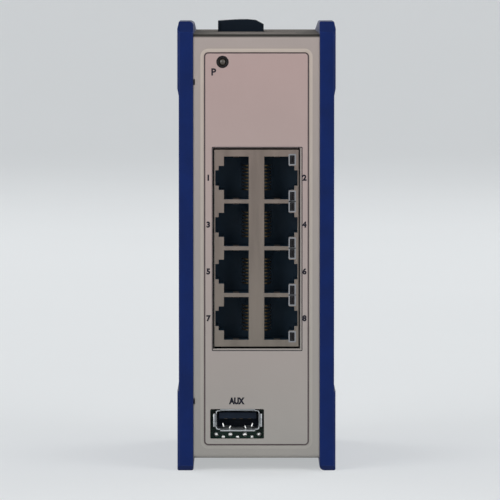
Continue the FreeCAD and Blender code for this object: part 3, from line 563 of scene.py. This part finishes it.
def flat_ring(name, outer, inner, depth, material):
    """A thin plate between two outlines that have as many points, from one depth to another."""
    shape = bmesh.new()
    rings = []
    for outline in (outer, inner):
        for level in depth:
            rings.append([shape.verts.new((x, level, z)) for x, z in outline])
    count = len(outer)
    outer_front, outer_back, inner_front, inner_back = rings
    for first in range(count):
        last = (first + 1) % count
        for one, two in ((outer_front, inner_front), (inner_back, outer_back),
                         (outer_back, outer_front), (inner_front, inner_back)):
            shape.faces.new((one[first], two[first], two[last], one[last]))
    return shape_piece(name, shape, material)


print("outline helpers ready")

# %% [markdown]
# ## Foil
# The foil is cut from thin sheet and glued to the panel. It is softened by a few hundredths of a millimetre.
# A fine dark line runs along its edge, another frames its opening for the sockets, and a paler margin
# surrounds it, a painted highlight along the foil's edge. Each line is a flat ring between two outlines.

# %% Foil

FOIL_ROUNDING = 0.04 * MM
foil = softened("label_foil", FOIL_ROUNDING, printed_foil, "housing", "label_foil")
FOIL_CORNER = 1.3 * MM
FOIL_MARGIN = 1.05 * MM
MARGIN_DEPTH = (LABEL_HIGH.y - 0.05 * MM, LABEL_HIGH.y + 0.02 * MM)
PRINT_DEPTH = (LABEL_FACE - 0.012 * MM, LABEL_FACE + 0.02 * MM)
LINE_INSET = 0.02 * MM
LINE_WIDTH = 0.4 * MM


def foil_outline(inset):
    """The foil's own outline, moved inwards."""
    return rounded_rectangle((LABEL_LOW.x, LABEL_HIGH.x), (LABEL_LOW.z, LABEL_HIGH.z), inset,
                             FOIL_CORNER - inset)


# The paler margin is a painted highlight along the foil's edge.
margin = flat_ring("foil_margin", foil_outline(-FOIL_MARGIN), foil_outline(0), MARGIN_DEPTH, foil_edge)
stand_in(margin, "housing", "label_foil")
# A thin dark line runs just inside the foil's edge.
border = flat_ring("foil_outline", foil_outline(LINE_INSET), foil_outline(LINE_INSET + LINE_WIDTH),
                   PRINT_DEPTH, outline_ink)
stand_in(border, "housing", "label_foil")

CUT_REACH = 2 * MM
CUT_LINE_GAP = 0.02 * MM
CUT_LINE_WIDTH = 0.24 * MM
CUT_CORNER = 0.15 * MM
CUT_LINE_CORNER = 0.3 * MM
cut_corners = [vert.co for vert in foil.data.vertices
               if abs(vert.co.x) < JACK_HIGH.x + CUT_REACH
               and JACK_LOW.z - CUT_REACH < vert.co.z < JACK_HIGH.z + CUT_REACH]
cut_x, cut_z = [(min(corner[axis] for corner in cut_corners), max(corner[axis] for corner in cut_corners))
                for axis in (0, 2)]
# A thin dark line frames the opening for the sockets.
cut_line = flat_ring("foil_cut_line",
                     rounded_rectangle(cut_x, cut_z, -CUT_LINE_GAP - CUT_LINE_WIDTH, CUT_LINE_CORNER),
                     rounded_rectangle(cut_x, cut_z, -CUT_LINE_GAP, CUT_CORNER), PRINT_DEPTH, dark_ink)
stand_in(cut_line, "housing", "label_foil")
print("opening in the foil in mm:", [round(value / MM, 2) for value in (*cut_x, *cut_z)])

# %% [markdown]
# ## Printed words and numbers
# The sockets are numbered from 1 to 8, the lamp is marked P for power, and the USB socket carries a
# plain function word. Each is a text object made into a mesh and let into the foil, so that it stands
# out by about a hundredth of a millimetre.

# %% Print

DIGIT_HEIGHT = 1.95 * MM
DIGIT_WEIGHT = 0.13 * MM
DIGIT_COLUMNS = (-14.35 * MM, 14.3 * MM)
CAP_SHARE = 0.73


def printed(words, x, z, height, weight, stretch=1.0):
    """Words centred at x, z on the foil, with capitals of a given height, thickened by a weight."""
    curve = bpy.data.curves.new("print_" + words, "FONT")
    curve.body = words
    curve.align_x = "CENTER"
    curve.align_y = "CENTER"
    curve.size = (height - 2 * weight) / CAP_SHARE
    curve.offset = weight
    curve.extrude = (PRINT_DEPTH[1] - PRINT_DEPTH[0]) / 2
    curve.resolution_u = 3
    words_piece = link_piece("print_" + words, curve)
    mesh = bpy.data.meshes.new_from_object(words_piece)
    bpy.data.objects.remove(words_piece)
    mesh.transform(Matrix.Diagonal((stretch, 1, 1, 1)))
    mesh.transform(Matrix.Rotation(math.pi / 2, 4, "X"))
    mesh.transform(Matrix.Translation((x, sum(PRINT_DEPTH) / 2, z)))
    closed(mesh)
    mesh.materials.clear()
    mesh.materials.append(dark_ink)
    return stand_in(link_piece("print_" + words, mesh), "housing", "label_foil")


for row, height in enumerate(reversed(PORT_HEIGHTS)):
    for column, x in enumerate(DIGIT_COLUMNS):
        printed(str(2 * row + column + 1), x, height, DIGIT_HEIGHT, DIGIT_WEIGHT)
lamp_middle = middle("status_lamp")
usb_middle = middle("usb_shell")
LAMP_MARK = (lamp_middle.x - 2.7 * MM, lamp_middle.z - 3.1 * MM)
USB_MARK = (usb_middle.x - 0.3 * MM, usb_middle.z + 5.75 * MM)
printed("P", *LAMP_MARK, height=2.3 * MM, weight=0.1 * MM)
printed("AUX", *USB_MARK, height=2.2 * MM, weight=0.17 * MM, stretch=0.8)
print("printed the numbers 1 to 8 and two marks")

# %% [markdown]
# ## Geometry Nodes for what repeats
# Contact wires, screws and solder joints come in groups of exact copies. A node tree makes one copy
# from its named sizes and places it on points. The result is turned into a plain mesh, and the
# modifier goes. These helpers build a tree's sockets and its end, and bake a finished tree. Every point
# carries the way that its copy faces.

# %% Tree helpers


def new_tree(name, **sizes):
    """A Geometry Nodes tree with named inputs, the sockets that its sizes come from, and its output node."""
    tree = bpy.data.node_groups.new(name, "GeometryNodeTree")
    tree.interface.new_socket("Points", in_out="INPUT", socket_type="NodeSocketGeometry")
    for label, value in sizes.items():
        kind = "NodeSocketInt" if isinstance(value, int) else "NodeSocketFloat"
        title = label.replace("_", " ").capitalize()
        tree.interface.new_socket(title, in_out="INPUT", socket_type=kind).default_value = value
    tree.interface.new_socket("Finish", in_out="INPUT", socket_type="NodeSocketMaterial")
    tree.interface.new_socket("Result", in_out="OUTPUT", socket_type="NodeSocketGeometry")
    return tree, tree.nodes.new("NodeGroupInput").outputs, tree.nodes.new("NodeGroupOutput")


def vector(tree, **parts):
    """A vector from its X, Y and Z, each a value or a socket. A part that isn't given is 0."""
    return add_node(tree, "ShaderNodeCombineXYZ", **parts).outputs[0]


def place_on_points(tree, given, output, shape):
    """Puts a shape on every point, turned to the point's way, and ends the tree."""
    way = add_node(tree, "GeometryNodeInputNamedAttribute", Name="way")
    way.data_type = "FLOAT_VECTOR"
    turn = add_node(tree, "FunctionNodeAlignRotationToVector", Vector=way.outputs["Attribute"])
    turn.axis = "Z"
    place = add_node(tree, "GeometryNodeInstanceOnPoints", Points=given["Points"], Instance=shape,
                     Rotation=turn.outputs["Rotation"])
    solid = add_node(tree, "GeometryNodeRealizeInstances", Geometry=place.outputs["Instances"])
    painted = add_node(tree, "GeometryNodeSetMaterial", Geometry=solid.outputs["Geometry"],
                       Material=given["Finish"])
    tree.links.new(painted.outputs["Geometry"], output.inputs["Result"])


def baked(name, tree, places, material, **sizes):
    """Runs a tree on points, each given as a place and a way, and keeps the mesh that it makes."""
    points = bpy.data.meshes.new(name)
    points.from_pydata([place for place, way in places], [], [])
    ways = points.attributes.new("way", "FLOAT_VECTOR", "POINT")
    for index, (place, way) in enumerate(places):
        ways.data[index].vector = way
    piece = link_piece(name, points)
    modifier = piece.modifiers.new("tree", "NODES")
    modifier.node_group = tree
    for item in tree.interface.items_tree:
        key = item.name.lower().replace(" ", "_")
        if item.in_out == "INPUT" and key in sizes:
            modifier[item.identifier] = sizes[key]
        if item.name == "Finish":
            modifier[item.identifier] = material
    applied(piece)
    closed(piece.data)
    piece.data.materials.clear()
    piece.data.materials.append(material)
    return piece


print("tree helpers ready")

# %% [markdown]
# ## Contact wires
# Each socket holds eight gold wires that stand out from the wall beside the middle bar and bend round
# towards the back. One wire is a bent curve with a round section, and a row of eight is set on each
# socket. The left-hand sockets hold the same rows mirrored, with their faces turned outwards again.

# %% Contact wires


def round_wire(tree, path, sides, radius):
    """A closed wire with a round section along a curve."""
    section = add_node(tree, "GeometryNodeCurvePrimitiveCircle", Resolution=sides, Radius=radius)
    return add_node(tree, "GeometryNodeCurveToMesh", Curve=path, Profile_Curve=section.outputs["Curve"],
                    Fill_Caps=True).outputs["Mesh"]


wires_tree, given, output = new_tree("contact_wires", wires=8, pitch=1.02 * MM, length=7.0 * MM,
                                     rise=1.8 * MM, thickness=0.4 * MM)
sprung = add_node(wires_tree, "GeometryNodeCurveQuadraticBezier", Resolution=8, Start=(0, 0, 0),
                  Middle=vector(wires_tree, X=given["Rise"]),
                  End=vector(wires_tree, X=given["Rise"], Y=given["Length"]))
wire = round_wire(wires_tree, sprung.outputs["Curve"], 8,
                  computed(wires_tree, "DIVIDE", given["Thickness"], 2.0))
gaps_below = computed(wires_tree, "MULTIPLY", computed(wires_tree, "SUBTRACT", 1.0, given["Wires"]), 0.5)
row_start = vector(wires_tree, Z=computed(wires_tree, "MULTIPLY", given["Pitch"], gaps_below))
wire_row = add_node(wires_tree, "GeometryNodeMeshLine", Count=given["Wires"], Start_Location=row_start,
                    Offset=vector(wires_tree, Z=given["Pitch"]))
on_row = add_node(wires_tree, "GeometryNodeInstanceOnPoints", Points=wire_row.outputs["Mesh"], Instance=wire)
place_on_points(wires_tree, given, output, on_row.outputs["Instances"])

CONTACT_ROOT = 2.45 * MM
CONTACT_SETBACK = 0.4 * MM
CONTACT_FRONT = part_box("jack_contacts")[0].y + CONTACT_SETBACK
right_rows = baked("contact_wires_right", wires_tree,
                   [((CONTACT_ROOT, CONTACT_FRONT, height), (0, 0, 1)) for height in PORT_HEIGHTS],
                   gold_plate)
left_mesh = right_rows.data.copy()
left_mesh.transform(Matrix.Diagonal((-1, 1, 1, 1)))
left_mesh.flip_normals()
left_rows = link_piece("contact_wires_left", left_mesh)
stand_in(right_rows, "housing", "gold_contact", "jack_contacts")
stand_in(left_rows, "housing", "gold_contact", "jack_contacts")
print("contact wires:", len(right_rows.data.polygons) * 2, "faces")

# %% [markdown]
# ## Screws
# A pan-head screw is a low cylinder with a tapered crown and a cross cut into it. The crown starts a
# hair below the cylinder's top, and the cross is two thin blocks of slightly different depth, taken away
# one after the other by the exact solver: Boolean nodes can leave open edges where faces lie in one
# plane. The same tree with other sizes makes the flush heads of the case screws.

# %% Screw tree


def raised(tree, mesh, height):
    """A mesh moved up by a height."""
    return add_node(tree, "GeometryNodeTransform", Geometry=mesh,
                    Translation=vector(tree, Z=height)).outputs["Geometry"]


def combined(tree, operation, first, second):
    """Joins two closed meshes, or takes the second out of the first, with the exact solver."""
    node = tree.nodes.new("GeometryNodeMeshBoolean")
    node.operation = operation
    node.solver = "EXACT"
    sockets = ("Mesh", "Mesh") if operation == "UNION" else ("Mesh 1", "Mesh 2")
    for socket, mesh in zip(sockets, (first, second)):
        tree.links.new(mesh, node.inputs[socket])
    return node.outputs["Mesh"]


CROWN_SEAT = 0.97
screw_tree, given, output = new_tree(
    "cross_head_screws", head_radius=2.6 * MM, crown_base=2.54 * MM, crown_radius=2.1 * MM,
    side_height=1.1 * MM, crown_height=0.5 * MM, cross_length=2.6 * MM, cross_width=0.55 * MM,
    cross_depth=1.8 * MM)
head = add_node(screw_tree, "GeometryNodeMeshCone", Vertices=40, Radius_Top=given["Head radius"],
                Radius_Bottom=given["Head radius"], Depth=given["Side height"])
crown = add_node(screw_tree, "GeometryNodeMeshCone", Vertices=40, Radius_Top=given["Crown radius"],
                 Radius_Bottom=given["Crown base"], Depth=given["Crown height"])
crown_seat = computed(screw_tree, "MULTIPLY", given["Side height"], CROWN_SEAT)
screw_shape = combined(screw_tree, "UNION", head.outputs["Mesh"],
                       raised(screw_tree, crown.outputs["Mesh"], crown_seat))
head_top = computed(screw_tree, "ADD", given["Side height"], given["Crown height"])
for along, across, depth_share in (("X", "Y", 1.0), ("Y", "X", 0.96)):
    sides = {along: given["Cross length"], across: given["Cross width"],
             "Z": computed(screw_tree, "MULTIPLY", given["Cross depth"], depth_share)}
    blade = add_node(screw_tree, "GeometryNodeMeshCube", Size=vector(screw_tree, **sides))
    screw_shape = combined(screw_tree, "DIFFERENCE", screw_shape,
                           raised(screw_tree, blade.outputs["Mesh"], head_top))
place_on_points(screw_tree, given, output, screw_shape)
print("screw tree has", len(screw_tree.nodes), "nodes")

# %% [markdown]
# ## Seats of the screws
# A CAD node can hold several loose pieces, such as all the screws of one kind. Each loose piece has its
# own box, and the box tells where a head sits and which way it faces.

# %% Screw heads


def loose_boxes(node):
    """The lowest and highest corner of every loose piece of a CAD node."""
    shape = merged_shape(node)
    boxes = []
    left = set(shape.verts)
    while left:
        group = {left.pop()}
        reached = list(group)
        while reached:
            near = {vert for link in reached.pop().link_edges for vert in link.verts} & left
            left -= near
            group |= near
            reached.extend(near)
        boxes.append(tuple(Vector([pick(vert.co[axis] for vert in group) for axis in range(3)])
                           for pick in (min, max)))
    shape.free()
    return sorted(boxes, key=lambda box: tuple(box[0]))


def lying_along(axis, boxes):
    """The boxes whose longest side is along one axis."""
    return [(low, high) for low, high in boxes
            if max(range(3), key=lambda side: (high - low)[side]) == axis]


PAN_HEAD = 1.6 * MM
FLUSH_HEAD = 0.7 * MM
pan_screws = loose_boxes("pan_head_screws")
board_seats = [(Vector((high.x - PAN_HEAD, (low.y + high.y) / 2, (low.z + high.z) / 2)), (1, 0, 0))
               for low, high in lying_along(0, pan_screws)]
back_seats = [(Vector(((low.x + high.x) / 2, high.y - PAN_HEAD, (low.z + high.z) / 2)), (0, 1, 0))
              for low, high in lying_along(1, pan_screws)]
pan_heads = baked("pan_heads", screw_tree, board_seats + back_seats, zinc_plate)
stand_in(pan_heads, "housing", "zinc_plate", "pan_head_screws")
case_seats = []
for low, high in loose_boxes("case_screws"):
    way, seat = (1, high.z) if low.z > middle("case_screws").z else (-1, low.z)
    place = Vector(((low.x + high.x) / 2, (low.y + high.y) / 2, seat - way * FLUSH_HEAD))
    case_seats.append((place, (0, 0, way)))
flush_heads = baked("flush_heads", screw_tree, case_seats, dull_zinc, head_radius=2.45 * MM,
                    crown_base=2.3 * MM, crown_radius=2.1 * MM, side_height=0.6 * MM,
                    crown_height=0.1 * MM, cross_depth=1.1 * MM)
stand_in(flush_heads, "housing", "zinc_plate", "case_screws")
print("screws in the board, behind and in the case:", len(board_seats), len(back_seats), len(case_seats))

# %% [markdown]
# ## Solder joints
# Solder wets its pin and climbs it, so a joint is a small shiny dome. A squashed sphere just below the
# middle of each CAD joint gives that bright dot. The joints of the lower row are the smaller ones.

# %% Solder joints

dome_tree, given, output = new_tree("solder_domes", radius=0.7 * MM, height_share=0.8)
ball = add_node(dome_tree, "GeometryNodeMeshUVSphere", Segments=20, Rings=10, Radius=given["Radius"])
dome = add_node(dome_tree, "GeometryNodeTransform", Geometry=ball.outputs["Mesh"],
                Scale=vector(dome_tree, X=1.0, Y=1.0, Z=given["Height share"]))
smooth_dome = add_node(dome_tree, "GeometryNodeSetShadeSmooth", Geometry=dome.outputs["Geometry"])
place_on_points(dome_tree, given, output, smooth_dome.outputs["Geometry"])
USB_BOARD_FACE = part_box("usb_board")[0].y
JOINT_DROP = 0.3 * MM
joint_middles = [(low + high) / 2 for low, high in loose_boxes("usb_solder_joints")]
row_split = middle("usb_solder_joints").z
for row_name, radius, joints in (
        ("upper", 0.7 * MM, [place for place in joint_middles if place.z > row_split]),
        ("lower", 0.54 * MM, [place for place in joint_middles if place.z <= row_split])):
    places = [(Vector((place.x, USB_BOARD_FACE, place.z - JOINT_DROP)), (0, -1, 0)) for place in joints]
    domes = baked("solder_domes_" + row_name, dome_tree, places, bright_solder, radius=radius)
    stand_in(domes, "housing", "solder_tin", "usb_solder_joints")
    print(row_name, "solder joints:", len(places))

# %% [markdown]
# ## Latch spring
# The spring is round wire wound in a helix, so a spiral curve with a round section stands for the square CAD
# wire. The latch presses it when it is pulled down. The piece rides on the housing and gets a mesh of its
# own.

# %% Latch spring

SPRING_LOW, SPRING_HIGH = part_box("latch_spring")
SPRING_WIRE = 0.7 * MM
spring_tree, given, output = new_tree("coil_spring", turns=7.0, coil_radius=1.9 * MM, rise=18.0 * MM,
                                      wire_radius=SPRING_WIRE / 2)
spiral = add_node(spring_tree, "GeometryNodeCurveSpiral", Resolution=24, Rotations=given["Turns"],
                  Start_Radius=given["Coil radius"], End_Radius=given["Coil radius"],
                  Height=given["Rise"])
place_on_points(spring_tree, given, output,
                round_wire(spring_tree, spiral.outputs["Curve"], 10, given["Wire radius"]))
spring_length = SPRING_HIGH.z - SPRING_LOW.z
spring_middle = middle("latch_spring")
spring_foot = Vector((spring_middle.x, spring_middle.y, SPRING_LOW.z + SPRING_WIRE / 2))
spring = baked("coil_spring", spring_tree, [(spring_foot, (0, 0, 1))], spring_wire,
               rise=spring_length - SPRING_WIRE)
stand_in(spring, "housing", "spring_steel", "latch_spring")
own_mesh(spring)

# %% [markdown]
# ## Lamp
# The lamp's light guide ends in a small dome set back in a black ring. The ring is the CAD holder with
# its edge rounded, and the dome is half an outline spun about the guide's axis. The outline gives how
# far out and how far back each point lies, in radii of the guide.

# %% Lamp

RING_EDGE = 0.12 * MM
softened("lamp_holder", RING_EDGE, ring_black, "housing", "black_moulding")
GUIDE_LOW, GUIDE_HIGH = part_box("status_lamp")
GUIDE_OUTLINE = [(0.0, 0.0), (0.35, 0.03), (0.65, 0.14), (0.88, 0.34), (1.0, 0.62), (1.0, 6.0), (0.0, 6.0)]
guide_radius = (GUIDE_HIGH.z - GUIDE_LOW.z) / 2
guide_shape = bmesh.new()
line = [guide_shape.verts.new((lamp_middle.x + out * guide_radius, GUIDE_LOW.y + back * guide_radius,
                               lamp_middle.z)) for out, back in GUIDE_OUTLINE]
edges = [guide_shape.edges.new(pair) for pair in zip(line, line[1:])]
bmesh.ops.spin(guide_shape, geom=line + edges, cent=(lamp_middle.x, 0, lamp_middle.z), axis=(0, 1, 0),
               angle=2 * math.pi, steps=32, use_merge=True)
bmesh.ops.remove_doubles(guide_shape, verts=guide_shape.verts, dist=SEAM)
for face in guide_shape.faces:
    face.smooth = True
light_guide = shape_piece("light_guide", guide_shape, lamp_smoke)
stand_in(light_guide, "housing", "lamp_lens", "status_lamp")
print("light guide", len(light_guide.data.polygons), "faces")

# %% [markdown]
# ## Sockets
# The tinned shield, the USB shell and its plastic tongue keep their CAD shape with eased edges. The
# thinner the sheet, the smaller the rounding.

# %% Sockets

for node, radius, material, slot_name in (
        ("jack_shield", 0.05 * MM, tin_plate, "tinned_shield"),
        ("usb_shell", 0.06 * MM, nickel_plate, "usb_plate"),
        ("usb_insulator", 0.08 * MM, socket_black, "black_moulding")):
    piece = softened(node, radius, material, "housing", slot_name)
    print(node, len(piece.data.polygons), "faces")

# %% [markdown]
# ## Springs in the USB shell
# Two springs stand up from the floor of the USB shell and press on the plug. Each shows the ends of its two
# arms, bent bars whose outlines are given in millimetres from the spring's middle and the floor. The bars
# follow the bright strokes that the springs' edges catch, and their bright tin finish makes them partly arm
# ends and partly painted highlights.

# %% USB springs

USB_MOUTH_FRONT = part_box("usb_shell")[0].y
USB_FLOOR = usb_middle.z - 2.65 * MM
USB_SPRING_DEPTH = (USB_MOUTH_FRONT + 1.3 * MM, USB_MOUTH_FRONT + 3.4 * MM)
USB_SPRING_OFFSET = 3.2 * MM
USB_SPRING_ARMS = {
    "outer": [(-1.42, 1.58), (-1.2, 0.95), (-1.0, 0.62), (-0.8, 0.7), (-0.9, 1.0), (-1.12, 1.62)],
    "inner": [(1.2, 0.82), (0.98, 0.34), (0.8, 0.1), (0.6, 0.18), (0.76, 0.5), (0.96, 0.92)],
}


def upright_bar(name, outline, depth, material):
    """A bar with an upright outline, from one depth to another."""
    shape = bmesh.new()
    rings = [[shape.verts.new((x, level, z)) for x, z in outline] for level in depth]
    shape.faces.new(rings[0])
    shape.faces.new(rings[1])
    for index, (one, two) in enumerate(zip(*rings)):
        after = (index + 1) % len(outline)
        shape.faces.new((one, two, rings[1][after], rings[0][after]))
    bmesh.ops.triangulate(shape, faces=[face for face in shape.faces if len(face.verts) > 4])
    return shape_piece(name, shape, material)


for side_name, way in (("left", 1), ("right", -1)):
    for arm_name, arm in USB_SPRING_ARMS.items():
        outline = [(usb_middle.x + way * (x * MM - USB_SPRING_OFFSET), USB_FLOOR + z * MM) for x, z in arm]
        # Painted highlights: the arm ends carry the bright tin finish, brighter than the nickel shell.
        arm_highlight = upright_bar("usb_spring_" + side_name + "_" + arm_name, outline, USB_SPRING_DEPTH,
                          bright_solder)
        stand_in(arm_highlight, "housing", "usb_plate")
print("spring arms:", 2 * len(USB_SPRING_ARMS))

# %% [markdown]
# ## Light windows
# The small light windows beside the right-hand sockets are smoky panes in pale moulded rims. A thin frame
# inside each pane, slightly paler than the pane, is a painted highlight.

# %% Light windows

RIM_DEPTH = (JACK_LOW.y - 0.03 * MM, JACK_LOW.y + 0.2 * MM)
RIM_WIDTH = 0.4 * MM
CORE_INSET = 0.34 * MM
CORE_WIDTH = 0.12 * MM
window_boxes = sorted(loose_boxes("port_lights"), key=lambda corner_pair: corner_pair[0].z)
for number, (low, high) in enumerate(window_boxes, start=1):
    rim_outer, rim_inner, core_outer, core_inner = [
        rounded_rectangle((low.x, high.x), (low.z, high.z), inset, corner, 3) for inset, corner in (
            (-RIM_WIDTH, 0.2 * MM), (0, 0.1 * MM),
            (CORE_INSET, 0.1 * MM), (CORE_INSET + CORE_WIDTH, 0.05 * MM))]
    rim = flat_ring("window_rim_" + str(number), rim_outer, rim_inner, RIM_DEPTH, window_rim)
    stand_in(rim, "housing", "light_window")
    # A thin paler frame inside each pane, a painted highlight.
    core = flat_ring("window_core_" + str(number), core_outer, core_inner,
                     (low.y - 0.02 * MM, low.y + 0.2 * MM), window_core)
    stand_in(core, "housing", "light_window")
print("light windows:", len(window_boxes))

# %% [markdown]
# ## Finishes for the pieces whose CAD shape is right
# The pieces deep in the case, and the small ones in the plug, keep their CAD mesh and get a finish.

# %% Finishes on CAD nodes

CAD_FINISHES = {
    "jack_housing": housing_navy, "port_lights": window_smoke, "usb_contacts": gold_plate,
    "usb_board": board_green, "usb_link": socket_black, "main_board": board_green,
    "board_standoffs": brass_plate, "switch_chip": chip_black, "heat_sink": black_anodised,
    "transformers": chip_black, "capacitor": can_aluminium, "power_coil": chip_black,
    "clock_crystal": can_aluminium, "memory_chip": chip_black, "power_header": plug_black,
    "power_pins": bright_solder, "plug_contacts": bright_solder, "wire_clamps": brass_plate,
    "terminal_screw_1": zinc_plate, "terminal_screw_2": zinc_plate, "terminal_screw_3": zinc_plate,
}
for node, material in CAD_FINISHES.items():
    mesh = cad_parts[node].data
    mesh.materials.clear()
    mesh.materials.append(material)
plain = [node for node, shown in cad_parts.items() if not shown.hide_render and node not in CAD_FINISHES]
print("CAD nodes without a finish:", plain)

# %% [markdown]
# ## Floor and backdrop
# The case stands on a pale floor that curves up into a backdrop. Rays that go straight to the camera,
# and those that shiny or clear surfaces send on, see a slightly paler floor and sky. That is done with
# the kind of ray and not with more light, so the case still throws its soft shadow.

# %% Floor and backdrop


def seen_rays(tree):
    """1 for rays that show a surface to the camera, straight, in a reflection or through glass, else 0."""
    rays = add_node(tree, "ShaderNodeLightPath").outputs
    straight_or_shiny = computed(tree, "MAXIMUM", rays["Is Camera Ray"], rays["Is Glossy Ray"])
    return computed(tree, "MAXIMUM", straight_or_shiny, rays["Is Transmission Ray"])


def mix_shaders(tree, share, first, second, end):
    """Mixes two shaders by a share and sends the mix to an end node."""
    mixed = tree.nodes.new("ShaderNodeMixShader")
    for index, source in enumerate((share, first.outputs[0], second.outputs[0])):
        tree.links.new(source, mixed.inputs[index])
    tree.links.new(mixed.outputs[0], end.inputs["Surface"])


SEEN_SHARE = 0.55
backdrop_colour = finish("backdrop", colour(240, 242, 243), 0.9, tone=0.01, cloud=0.3, grain=0.002,
                         relief=1e-5)
stage_tree = backdrop_colour.node_tree
glow = add_node(stage_tree, "ShaderNodeEmission", Color=colour(232, 235, 237))
glow_share = computed(stage_tree, "MULTIPLY", seen_rays(stage_tree), SEEN_SHARE)
mix_shaders(stage_tree, glow_share, stage_tree.nodes["Principled BSDF"], glow,
            stage_tree.nodes["Material Output"])
SWEEP_START = 2.6
SWEEP_RADIUS = 1.2
SWEEP_STEPS = 12
STAGE_REACH = 9.0
sweep = [(-STAGE_REACH, 0.0), (SWEEP_START, 0.0)]
for step in range(1, SWEEP_STEPS + 1):
    turn = math.pi / 2 * step / SWEEP_STEPS
    sweep.append((SWEEP_START + SWEEP_RADIUS * math.sin(turn), SWEEP_RADIUS * (1 - math.cos(turn))))
sweep.append((SWEEP_START + SWEEP_RADIUS, STAGE_REACH))
stage_mesh = bpy.data.meshes.new("stage")
stage_points = [(side * STAGE_REACH, y, z) for y, z in sweep for side in (-1, 1)]
stage_faces = [(2 * index, 2 * index + 1, 2 * index + 3, 2 * index + 2) for index in range(len(sweep) - 1)]
stage_mesh.from_pydata(stage_points, [], stage_faces)
stage_mesh.materials.append(backdrop_colour)
for face in stage_mesh.polygons:
    face.use_smooth = True
stage = link_piece("stage", stage_mesh)
print("stage has", len(stage_mesh.polygons), "faces")

# %% [markdown]
# ## Lamps and sky
# Four large soft lamps stand round the case, two in front and two behind, and the sky fills the shadows.
# Together they light it at a plain level, so that a colour comes out about as it is written.

# %% Lamps and sky

LAMP_SIZE = 1.3
LAMP_AIM = Vector((0, 0, 0.07))
SKY_STRENGTH = 0.4
LAMPS = {
    "left_lamp": ((-1.2, -1.5, 0.62), 19), "right_lamp": ((1.3, -1.4, 0.6), 15),
    "back_left_lamp": ((-1.3, 1.3, 0.6), 13), "back_right_lamp": ((1.3, 1.3, 0.6), 13),
}
for lamp_name, (place, power) in LAMPS.items():
    lamp_data = bpy.data.lights.new(lamp_name, "AREA")
    lamp_data.size = LAMP_SIZE
    lamp_data.energy = power
    lamp = bpy.data.objects.new(lamp_name, lamp_data)
    lamp.location = place
    lamp.rotation_euler = (LAMP_AIM - Vector(place)).to_track_quat("-Z", "Y").to_euler()
    bpy.context.scene.collection.objects.link(lamp)

sky = bpy.data.worlds.new("sky")
sky.use_nodes = True
bpy.context.scene.world = sky
sky_tree = sky.node_tree
sky_light = sky_tree.nodes["Background"]
sky_light.inputs["Color"].default_value = colour(225, 229, 233)
sky_light.inputs["Strength"].default_value = SKY_STRENGTH
pale_sky = add_node(sky_tree, "ShaderNodeBackground", Color=colour(220, 224, 226))
mix_shaders(sky_tree, seen_rays(sky_tree), sky_light, pale_sky, sky_tree.nodes["World Output"])
print("lamps:", len(LAMPS))

# %% [markdown]
# ## Last update
# The view layer is updated once more, so that every piece stands in its place.

# %% Last update

bpy.context.view_layer.update()
